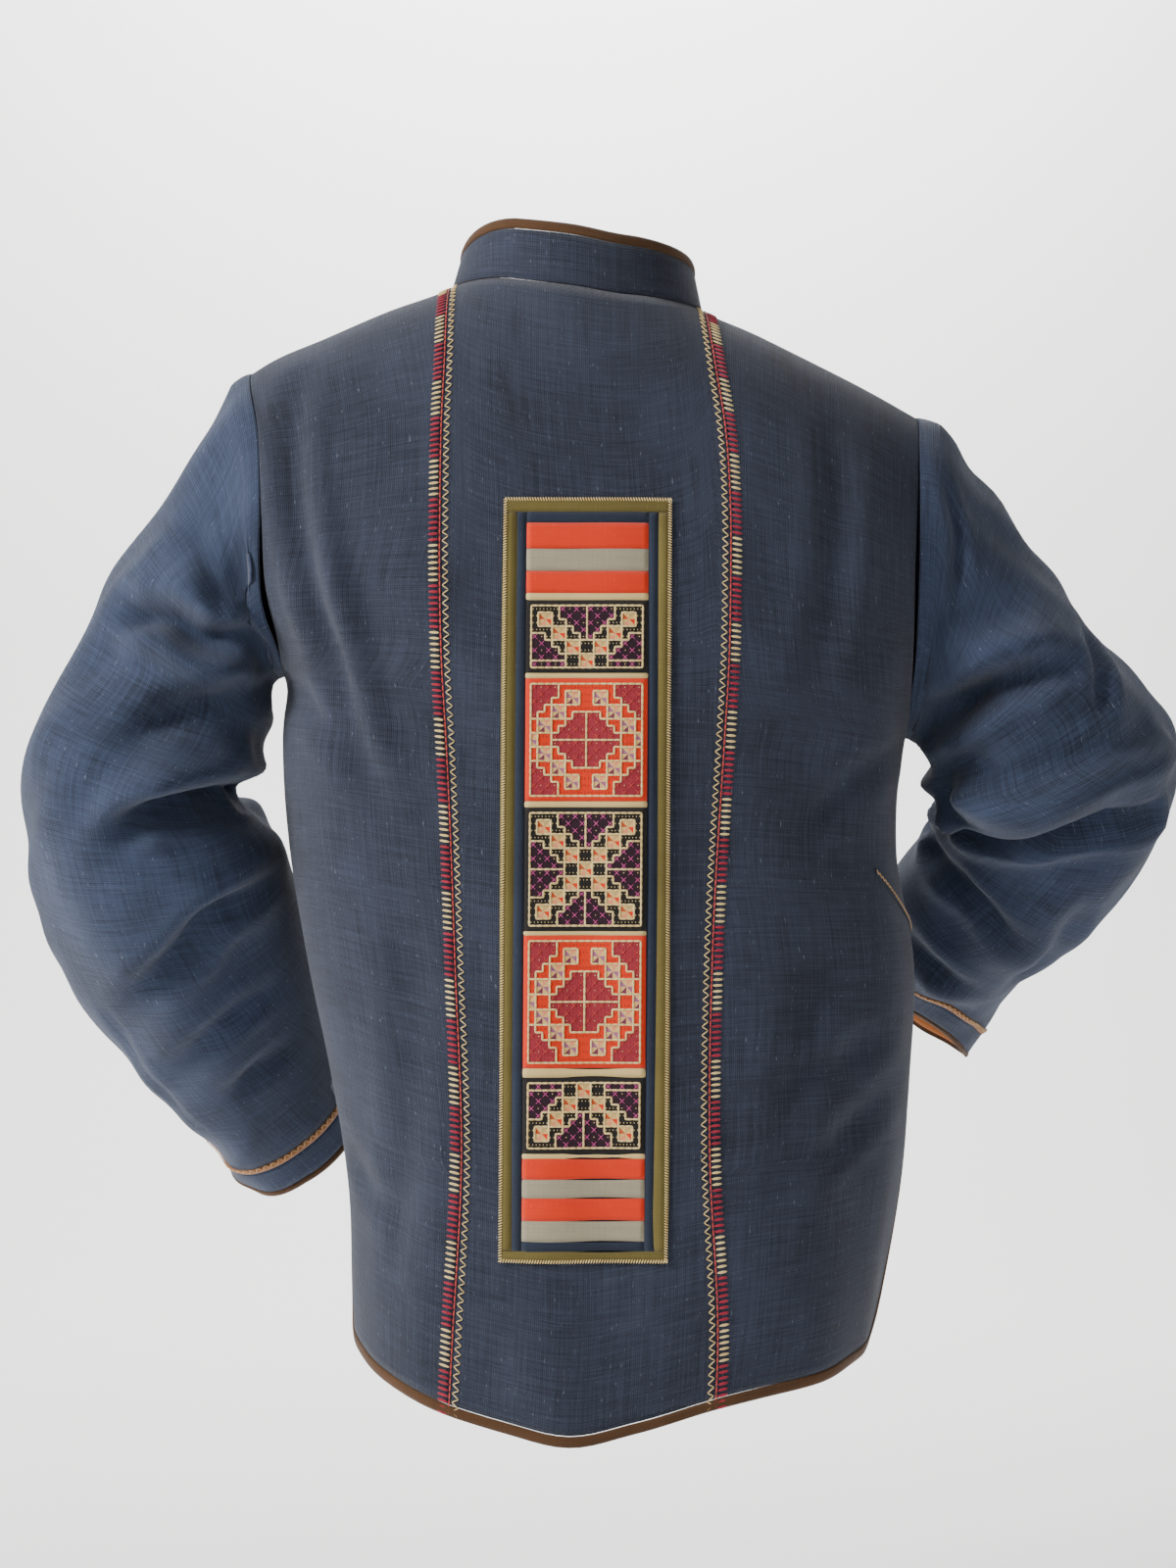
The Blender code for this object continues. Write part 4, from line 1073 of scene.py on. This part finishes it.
def sleeves():
    trim_end = SEAM + CUFF_TRIM
    cuff_end = trim_end + SEAM + CUFF_BAND
    for side, name in ((1, "left"), (-1, "right")):
        depth = sleeve_hang(side)

        def sleeve(u, v, side=side):
            return sleeve_skin(side, np.clip(v, 0, 1), (u if side > 0 else 1 - u) % 1.0000001)

        def band(start, end, side=side):
            def skin(u, v):
                turn = (u if side > 0 else 1 - u) % 1.0000001
                return cuff_skin(side, blend(start, end, v), turn)
            return skin

        # The sleeve and its cuff take the hemp's lighter, bluer copy: painted light
        cloth(f"sleeve_{name}_cloth", "indigo_hemp_painted_lit_sleeve", sleeve, SLEEVE_ROUND, SLEEVE_ROWS,
              [f"sleeve_{name}_upper", f"sleeve_{name}_lower"], joined=True, depth=depth,
              record_slot="indigo_hemp")
        cloth(f"cuff_trim_{name}_cloth", "copper_trim", band(SEAM, trim_end), SLEEVE_ROUND, 3,
              [f"cuff_trim_{name}"], TRIM_WALL, TRIM_PROUD, True, depth, round_edge=0.4)
        cloth(f"cuff_{name}_cloth", "indigo_hemp_painted_lit_sleeve", band(trim_end + SEAM, cuff_end),
              SLEEVE_ROUND, 6, [f"cuff_{name}"], joined=True, depth=depth,
              record_slot="indigo_hemp")
        edge = cuff_end + SEAM
        cloth(f"cuff_binding_{name}_cloth", "brown_binding", band(edge, edge + CUFF_EDGE),
              SLEEVE_ROUND, 3, [f"cuff_binding_{name}"], TRIM_WALL, TRIM_PROUD, True, depth,
              round_edge=0.4)
        cloth(f"cuff_facing_{name}_cloth", "orange_facing", band(trim_end + SEAM, cuff_end - SEAM),
              SLEEVE_ROUND, 6, [f"cuff_facing_{name}"], STRIP_WALL, -CLOTH_WALL - LIFT, True,
              depth)
        u = np.linspace(0, 1, 2 * CUFF_TEETH + 1)
        sew(f"cuff_zigzag_{name}", "tan_thread",
            *zigzag(band(-1.2, 2.6), depth, u, 0.0, 1.0, TRIM_PROUD + 0.9), 0.9, 0.8,
            "copper_trim")


def collar_turn(step):
    """Spaces points round the collar as the panels' columns are: step 0 is the left front."""
    end = pi - np.arcsin(FRONT_EDGE / NECK_HALF)
    stops = (0, FRONT_COLUMNS, FRONT_COLUMNS + BACK_COLUMNS, 2 * FRONT_COLUMNS + BACK_COLUMNS)
    return np.interp(step, stops, (end, pi / 2, -pi / 2, -end))


def collar():
    around = 2 * FRONT_COLUMNS + BACK_COLUMNS

    def wall(u, v):
        turn = collar_turn(np.clip(u, 0, 1) * around)
        top = read(COLLAR, "height", np.degrees(turn)) - BOUND_ROOM
        return collar_skin(turn, top * np.clip(v, 0, 1) + 1e-4)

    def edge(u, v):
        """Up the left end, round the top and down the right end."""
        step = np.clip(u, 0, 1) * (around + 2 * COLLAR_END) - COLLAR_END
        turn = collar_turn(np.clip(step, 0, around))
        past = np.clip(-step, 0, COLLAR_END) + np.clip(step - around, 0, COLLAR_END)
        ends = (step < 0.01) | (step > around - 0.01)
        turn = turn + np.sign(turn) * ends * (v * BINDING + BOUND_SEAM) / NECK_HALF
        top = read(COLLAR, "height", np.degrees(turn)) - BINDING * (1 - v)
        return collar_skin(turn, top * (1 - past / COLLAR_END) + 1e-4)

    cloth("collar_cloth", "indigo_hemp", wall, around, 8, ["collar"])
    cloth("collar_binding_cloth", "brown_binding", edge, around + 2 * COLLAR_END, 4,
          ["collar_binding"],
          TRIM_WALL, TRIM_PROUD, round_edge=0.6)


def pocket_mouths():
    for side, name in ((1, "left"), (-1, "right")):
        def skin(u, v, side=side):
            round_side = blend(*POCKET_ROUND[side], 1 - u if side > 0 else u)
            z = read(POCKET, "z", round_side) + (v - 1) * POCKET_WIDTH
            across = np.clip(1 - np.abs(round_side) / PANEL_REACH[side], 0, 1)
            x = side * half_width(side, z)
            points = []
            for face in (1, -1):
                hem = read(ACROSS, "hem_back" if face > 0 else "hem_front", x)
                row = (z - hem) / (read(ACROSS, "base", x) - hem)
                points.append(side_skin(side, face, across, row))
            return np.where((round_side <= 0)[..., None], *points)

        cloth(f"pocket_mouth_{name}_cloth", "indigo_hemp", skin, 60, 2,
              [f"pocket_mouth_{name}"], STRIP_WALL, depth=hang, lift=1.1,
              record_slot="navy_cotton")
        sew(f"pocket_zigzag_{name}", "tan_thread",
            *zigzag(skin, hang, np.linspace(0, 1, 121), 0.25, 0.75, 1.5), 0.7, 0.6,
            "copper_trim")


def seam_bands():
    """Bars, a line and a zigzag beside each seam, up the back, over and down the front."""
    bars = {"red": [], "cream": []}
    lines, teeth = [], []
    for side, column in ((1, "band_left"), (-1, "band_right")):
        for face in (1, -1):
            def skin(shift, row, side=side, column=column, face=face):
                row = np.clip(row, 0, 2)
                z = -300 + 0 * row
                for _ in range(10):
                    x = read(SEAMS, column, z) + side * shift
                    z, _arch = height_at(x, row, face, BINDING)
                x = read(SEAMS, column, z) + side * shift
                return plain_skin(x, row, face)

            placed = worn(skin, hang, 0.5, -side * face)
            v = spaced(skin, 0.0, BAR_PITCH, BAND_FOOT, BAND_TOP)
            ends = [placed(shift + 0 * v, v) for shift in (BAR_START, BAR_END)]
            group = np.arange(len(v)) % sum(BAR_GROUPS)
            for number in range(len(v)):
                kind = "red" if group[number] < BAR_GROUPS[0] else "cream"
                bars[kind].append((ends[0][0][number], ends[1][0][number], ends[0][1][number]))
            v = spaced(skin, 0.0, LINE_STITCH, BAND_FOOT, BAND_TOP)
            points, ways = placed(0 * v + LINE_PLACE, v)
            lines += list(zip(points[:-1], points[1:], ways))
            v = spaced(skin, 0.0, ZIGZAG_PITCH, BAND_FOOT, BAND_TOP)
            inner = np.where(np.arange(len(v)) % 2, -ZIGZAG_NEAR, -ZIGZAG_FAR)
            points, ways = placed(inner, v)
            teeth += list(zip(points[:-1], points[1:], ways))
    for kind, width in (("red", 1.9), ("cream", 1.7)):
        sew(f"seam_bars_{kind}", f"{kind}_thread", *zip(*bars[kind]), width, 0.9,
            "orange_cotton" if kind == "red" else "cream_cotton")
    sew("seam_lines", "coral_thread", *zip(*lines), 1.0, 0.8, "orange_cotton")
    sew("seam_zigzags", "cream_thread", *zip(*teeth), 0.75, 0.7, "cream_cotton")


def strip_length():
    return sum(piece.height for piece in STRIP)


def strip_place(x, down):
    """The back at x from the strip's middle line and so far down the strip."""
    middle = blend(STRIP_MIDDLE_TOP, STRIP_MIDDLE_FOOT, down / strip_length())
    return strip_skin(middle + x, STRIP_TOP - down)


def strip_piece(name, finish, left, right, top, foot, node, lift=LIFT + STRIP_WALL, full=0.0):
    """A piece of the strip, a little full between its seams."""
    def skin(u, v):
        return strip_place(blend(left - SEAM / 2, right + SEAM / 2, u),
                           blend(foot - SEAM / 2, top + SEAM / 2, v))

    def puffed(u, v):
        point = skin(u, v)
        out = full * np.sin(pi * np.clip(u, 0, 1)) ** 0.3 * np.sin(pi * np.clip(v, 0, 1)) ** 0.5
        return point + np.array([0.0, 1.0, 0.0]) * out[..., None]

    columns = max(2, round(abs(left - right) / 3))
    rows = max(2, round((foot - top) / 3))
    return cloth(f"{name}_cloth", finish, puffed, columns, rows, [node], STRIP_WALL,
                 depth=hang, lift=lift, record_slot=finish)


def cell_kind(i, j, flipped):
    """The kind of cell in a whole motif, i across from its left edge and j down from its top."""
    i, j = min(i, CELLS - 1 - i), min(j, CELLS - 1 - j)
    return QUARTER[j][CELLS // 2 - 1 - i if flipped else i]


def place_in_square(i, j):
    """Whether a cell is at the left, and at the top, of its two-by-two square."""
    half = CELLS // 2
    left = (min(i, CELLS - 1 - i) % 2 == 1) == (i < half)
    top = (min(j, CELLS - 1 - j) % 2 == 1) == (j < half)
    return left, top


def split_square(face, left, top):
    """Cuts a cell from its square's corner to the middle: one half is ivory, one coloured."""
    middle = face.calc_center_median()
    tips = [corner for corner in face.verts
            if ((corner.co.x > middle.x) == (corner.co.z > middle.z)) == (left == top)]
    other, _loop = bmesh.utils.face_split(face, tips[0], tips[1])
    pair = sorted((face, other), key=lambda part: part.calc_center_median().z)
    upright, sideways = (pair[1], pair[0]) if top else (pair[0], pair[1])
    plain, coloured = (upright, sideways) if left == top else (sideways, upright)
    plain.material_index = 2
    coloured.material_index = 3 + 2 * (not top) + (left != top)


def in_margins(part, cells, width):
    """Spreads a grid of cells and two margins over a width: part is 0 to 1 over all of them."""
    lines = np.concatenate([[0], np.linspace(CHART_MARGIN, width - CHART_MARGIN, cells + 1),
                            [width]])
    return np.interp(part * (cells + 2), np.arange(cells + 3), lines)


def motif(name, chart_rows, top, foot, flipped):
    """Counted-thread work: patches split along their diagonals, with laid threads on them."""
    half = STRIP_WIDTH / 2 - OLIVE - NAVY
    rows = len(chart_rows)
    if flipped:
        order = ("orange_cotton", "wine_patch", "ivory_patch", "mauve_patch", "salmon_patch",
                 "mauve_patch", "plum_patch")
    else:
        order = ("black_cotton", "aubergine_patch", "ivory_patch", "rust_patch", "green_patch",
                 "orange_cotton", "salmon_patch")

    def skin(u, v):
        across = in_margins(u, CELLS, 2 * half - SEAM)
        up = in_margins(v, rows, foot - top - SEAM)
        return strip_place(half - SEAM / 2 - across, foot - SEAM / 2 - up)

    piece = cloth(f"{name}_cloth", order[0], skin, CELLS + 2, rows + 2, [name], STRIP_WALL,
                  depth=hang, lift=LIFT + STRIP_WALL)
    for finish in order[1:]:
        piece.data.materials.append(finishes[finish])
    work = bmesh.new()
    work.from_mesh(piece.data)
    work.faces.ensure_lookup_table()
    for number, face in enumerate(list(work.faces)):
        i, down = number % (CELLS + 2) - 1, rows - number // (CELLS + 2)
        if not (0 <= i < CELLS and 0 <= down < rows):
            continue
        kind = cell_kind(i, chart_rows[down], flipped)
        face.material_index = 1 if kind == "b" else 0
        if kind == "S":
            split_square(face, *place_in_square(i, chart_rows[down]))
    work.to_mesh(piece.data)
    work.free()
    laid_threads(name, skin, chart_rows, flipped)


def laid_threads(name, skin, chart_rows, flipped):
    """Outlines, dots, crossed threads and knots, each on the lines of the chart."""
    rows = len(chart_rows)
    outlines, dots, crosses, knots = [], [], [], []
    middle = CELLS // 2

    def kind_at(i, j):
        inside = 0 <= i < CELLS and 0 <= j < rows
        return cell_kind(i, chart_rows[j], flipped) if inside else None

    for j in range(rows + 1):
        for i in range(CELLS + 1):
            kind = kind_at(i, j)
            central = kind == "b" and i == middle
            if j < rows and (kind_at(i - 1, j) != kind or central):
                outlines.append((i, j - 0.12, i, j + 1.12))
            central = kind == "b" and j < rows and chart_rows[j] == middle
            if i < CELLS and (kind_at(i, j - 1) != kind or central):
                outlines.append((i - 0.12, j, i + 1.12, j))
            if i == CELLS or j == rows:
                continue
            if kind == "c":
                dots += [(i + step - 0.06, j + 0.5, i + step + 0.06, j + 0.5)
                         for step in (0.25, 0.75)]
            if kind == "b" and (i + chart_rows[j]) % 2 == 0:
                crosses += [(i + 0.08, j + 0.08, i + 0.92, j + 0.92),
                            (i + 0.92, j + 0.08, i + 0.08, j + 0.92)]
            elif kind == "b" and i % 2:
                knots.append((i + 0.42, j + 0.5, i + 0.58, j + 0.5))
    lifted = worn(skin, hang, LIFT + STRIP_WALL + 0.2)
    for kind, runs, finish, width, height in (
            ("outlines", outlines, "cream_thread", 1.45, 0.8),
            ("dots", dots, "rust_thread" if flipped else "cream_thread", 0.85, 0.6),
            ("crosses", crosses, "coral_thread" if flipped else "pink_thread", 0.55, 0.4),
            ("knots", knots, "cream_thread", 0.65, 0.6)):
        chart = np.array(runs, float)
        u, v = (chart[:, 0::2] + 1) / (CELLS + 2), 1 - (chart[:, 1::2] + 1) / (rows + 2)
        starts, ways = lifted(u[:, 0], v[:, 0])
        ends, _ways = lifted(u[:, 1], v[:, 1])
        sew(f"{name}_{kind}", finish, starts, ends, ways, width, height, "cream_cotton")


def embroidered_strip():
    half = STRIP_WIDTH / 2
    inner = half - OLIVE
    content = inner - NAVY
    length = strip_length()
    top = 0.0
    for piece in STRIP:
        foot = top + piece.height
        if piece.name in ("motif_1", "motif_3", "motif_5"):
            rows = {"motif_1": range(0, 9), "motif_3": range(0, 16), "motif_5": range(7, 16)}
            motif(piece.name, list(rows[piece.name]), top, foot, False)
        elif piece.name in ("motif_2", "motif_4"):
            motif(piece.name, list(range(16)), top, foot, True)
        else:
            wide = half if piece.name in ("olive_top", "olive_foot") else content
            strip_piece(piece.name, piece.material, wide, -wide, top, foot, piece.name,
                        full=0.2)
        top = foot
    head, tail = STRIP[0].height, STRIP[-1].height
    for side, name in ((1, "left"), (-1, "right")):
        for kind, outer, width in (("olive", half, OLIVE), ("navy", inner, NAVY)):
            edges = sorted((side * outer, side * (outer - width)), reverse=True)
            strip_piece(f"{kind}_{name}", f"{kind}_cotton", *edges, head, length - tail,
                        f"{kind}_{name}", full=0.35)
    whip_stitches(half, length)


def whip_stitches(half, length):
    """Slanting stitches over the strip's edge, all the way round."""
    places = []
    for down in np.arange(WHIP_START, length, WHIP_PITCH):
        for side in (1, -1):
            places.append((side * (half + WHIP_OUT), down + WHIP_SLANT,
                           side * (half - WHIP_BACK), down - WHIP_SLANT))
    for across in np.arange(-half, half, WHIP_PITCH):
        places.append((across + WHIP_SLANT, -WHIP_OUT, across - WHIP_SLANT, WHIP_BACK))
        places.append((across + WHIP_SLANT, length + WHIP_OUT,
                       across - WHIP_SLANT, length - WHIP_BACK))
    chart = np.array(places)
    lifted = worn(strip_place, hang, LIFT + STRIP_WALL + 0.35)
    starts, ways = lifted(chart[:, 0], chart[:, 1])
    ends, _ways = lifted(chart[:, 2], chart[:, 3])
    sew("strip_whip_stitches", "cream_thread", starts, ends, ways, 0.85, 0.8, "cream_cotton")


def front_place(z):
    """A point on the front's middle line, and the way out from it."""
    x = read(SEAMS, "middle", z)
    heights = np.array([z - 4.0, z, z + 4.0])
    points = body_place(-1)(x + 0 * heights, heights)
    normal = np.cross([1.0, 0.0, 0.0], points[2] - points[0])
    normal /= np.linalg.norm(normal)
    return points[1] - normal * hang(points[1:2])[0], normal


def cord_ring(work, radius, cord, tilt, place):
    """One turn of cord, spun round and laid in place."""
    circle = bmesh.ops.create_circle(work, segments=8, radius=cord * MM)["verts"]
    turn = Matrix.Translation((radius * MM, 0, 0)) @ Matrix.Rotation(pi / 2, 4, "X")
    bmesh.ops.transform(work, matrix=turn, verts=circle)
    edges = list({edge for vertex in circle for edge in vertex.link_edges})
    bmesh.ops.spin(work, geom=circle + edges, cent=(0, 0, 0), axis=(0, 0, 1), angle=2 * pi,
                   steps=28, use_merge=True)
    verts = [vertex for vertex in work.verts if vertex.is_valid and not vertex.tag]
    bmesh.ops.transform(work, matrix=place @ tilt, verts=verts)
    for vertex in verts:
        vertex.tag = True


def fastenings():
    """Knot buttons of turned cord, each in its loop, down the middle of the fronts."""
    for number, z in enumerate(BUTTON_HEIGHTS, 1):
        point, normal = front_place(z)
        turned = Vector(normal).to_track_quat("Z", "Y").to_matrix().to_4x4()
        knot = bmesh.new()
        place = Matrix.Translation(point * MM + normal * 5.0 * MM) @ turned
        for tilt in range(4):
            spun_round = Matrix.Rotation(pi / 4 * tilt, 4, "Z") @ Matrix.Rotation(pi / 2, 4, "X")
            squash = Matrix.Diagonal((1, 1, BUTTON_FLAT, 1))
            cord_ring(knot, 3.4, 1.5, squash @ spun_round, place)
        cord_ring(knot, 3.3, 1.5, Matrix.Identity(4), place)
        finish_cord(knot, f"button_{number}")
        loop = bmesh.new()
        place = Matrix.Translation(point * MM + normal * 2.4 * MM) @ turned
        cord_ring(loop, LOOP_RADIUS, LOOP_CORD, Matrix.Identity(4), place)
        finish_cord(loop, f"button_loop_{number}")


def finish_cord(work, node):
    bmesh.ops.remove_doubles(work, verts=work.verts, dist=1e-6)
    bmesh.ops.recalc_face_normals(work, faces=work.faces)
    for face in work.faces:
        face.smooth = True
    mesh = bpy.data.meshes.new(f"{node}_cord")
    work.to_mesh(mesh)
    work.free()
    keep(bpy.data.objects.new(f"{node}_cord", mesh), "brown_thread", "brown_binding", [node])


# Each sheet, and the pieces that are sewn on it
SHEETS = {
    "side_left_cloth": ("seam_bars_red", "seam_bars_cream", "seam_lines"),
    "side_right_cloth": (),
    "back_centre_cloth": ("hem_binding_cloth", "seam_zigzags"),
    "front_left_cloth": ("front_binding_left_cloth",),
    "front_right_cloth": ("front_binding_right_cloth",),
    "sleeve_left_cloth": ("cuff_trim_left_cloth", "cuff_zigzag_left"),
    "sleeve_right_cloth": ("cuff_trim_right_cloth", "cuff_zigzag_right"),
    "cuff_left_cloth": ("cuff_binding_left_cloth",),
    "cuff_right_cloth": ("cuff_binding_right_cloth",),
    "cuff_facing_left_cloth": (),
    "cuff_facing_right_cloth": (),
    "collar_cloth": ("collar_binding_cloth",),
    "motif_1_cloth": ("piping_1_cloth", "piping_2_cloth"),
    "motif_2_cloth": ("piping_3_cloth",),
    "motif_3_cloth": ("piping_4_cloth",),
    "motif_4_cloth": ("piping_5_cloth",),
    "motif_5_cloth": ("piping_6_cloth",),
    "orange_1_cloth": ("navy_top_cloth", "olive_top_cloth"),
    "grey_1_cloth": (),
    "orange_2_cloth": (),
    "orange_3_cloth": (),
    "grey_2_cloth": (),
    "orange_4_cloth": (),
    "grey_3_cloth": ("navy_foot_cloth", "olive_foot_cloth", "strip_whip_stitches"),
}


def declare_sheets():
    for name, sewn_on in SHEETS.items():
        (width, length), area = cuts[name]
        width, length = round(width, 4), round(length, 4)


def studio():
    """A pale floor that sweeps up behind, soft light from the wearer's left, and the camera."""
    work = bmesh.new()
    bmesh.ops.create_grid(work, x_segments=8, y_segments=60, size=0.5)
    for vertex in work.verts:
        x, y = vertex.co.x * 14, vertex.co.y * 12
        bend = 0.9
        start = -1.6
        if y > start:
            place = (x, y, -0.95)
        else:
            turn = min((start - y) / bend, pi / 2)
            rest = max(0.0, start - y - bend * pi / 2)
            place = (x, start - bend * np.sin(turn), -0.95 + bend * (1 - np.cos(turn)) + rest)
        vertex.co = place
    for face in work.faces:
        face.smooth = True
    mesh = bpy.data.meshes.new("studio_floor")
    work.to_mesh(mesh)
    work.free()
    floor = bpy.data.objects.new("studio_floor", mesh)
    paper = bpy.data.materials.new("white_paper_backdrop")
    paper.use_nodes = True
    surface = paper.node_tree.nodes["Principled BSDF"]
    surface.inputs["Base Color"].default_value = linear("#f6f6f5")
    surface.inputs["Roughness"].default_value = 0.95
    mesh.materials.append(paper)
    bpy.context.scene.collection.objects.link(floor)
    world = bpy.data.worlds.new("soft_room")
    world.use_nodes = True
    world.node_tree.nodes["Background"].inputs["Color"].default_value = (1, 1, 1, 1)
    world.node_tree.nodes["Background"].inputs["Strength"].default_value = 0.3
    bpy.context.scene.world = world
    for name, place, target, size, power in (
            ("window", (2.4, 1.2, 1.0), (0, 0, -0.3), 0.9, 125),
            ("fill", (-1.6, 2.3, 0.2), (0, 0, -0.3), 2.0, 9),
            ("backdrop_wash", (0, -1.2, 1.9), (0, -3.1, 0.4), 1.6, 170)):
        lamp = bpy.data.lights.new(name, "AREA")
        lamp.size = size
        lamp.energy = power
        holder = bpy.data.objects.new(name, lamp)
        holder.location = place
        way = Vector(target) - Vector(place)
        holder.rotation_euler = way.to_track_quat("-Z", "Y").to_euler()
        bpy.context.scene.collection.objects.link(holder)
    eye = bpy.data.cameras.new("eye")
    eye.lens = 57
    eye.sensor_width = 36
    holder = bpy.data.objects.new("eye", eye)
    holder.location = (-0.0085, 1.508, -0.2933)
    holder.rotation_euler = (pi / 2, 0, pi)
    bpy.context.scene.collection.objects.link(holder)
    bpy.context.scene.camera = holder


for panel_side, panel_name in ((1, "side_left"), (-1, "side_right")):
    side_panel(panel_side, panel_name)
back_centre()
front_panels()
bindings()
sleeves()
collar()
pocket_mouths()
seam_bands()
embroidered_strip()
fastenings()
declare_sheets()
studio()
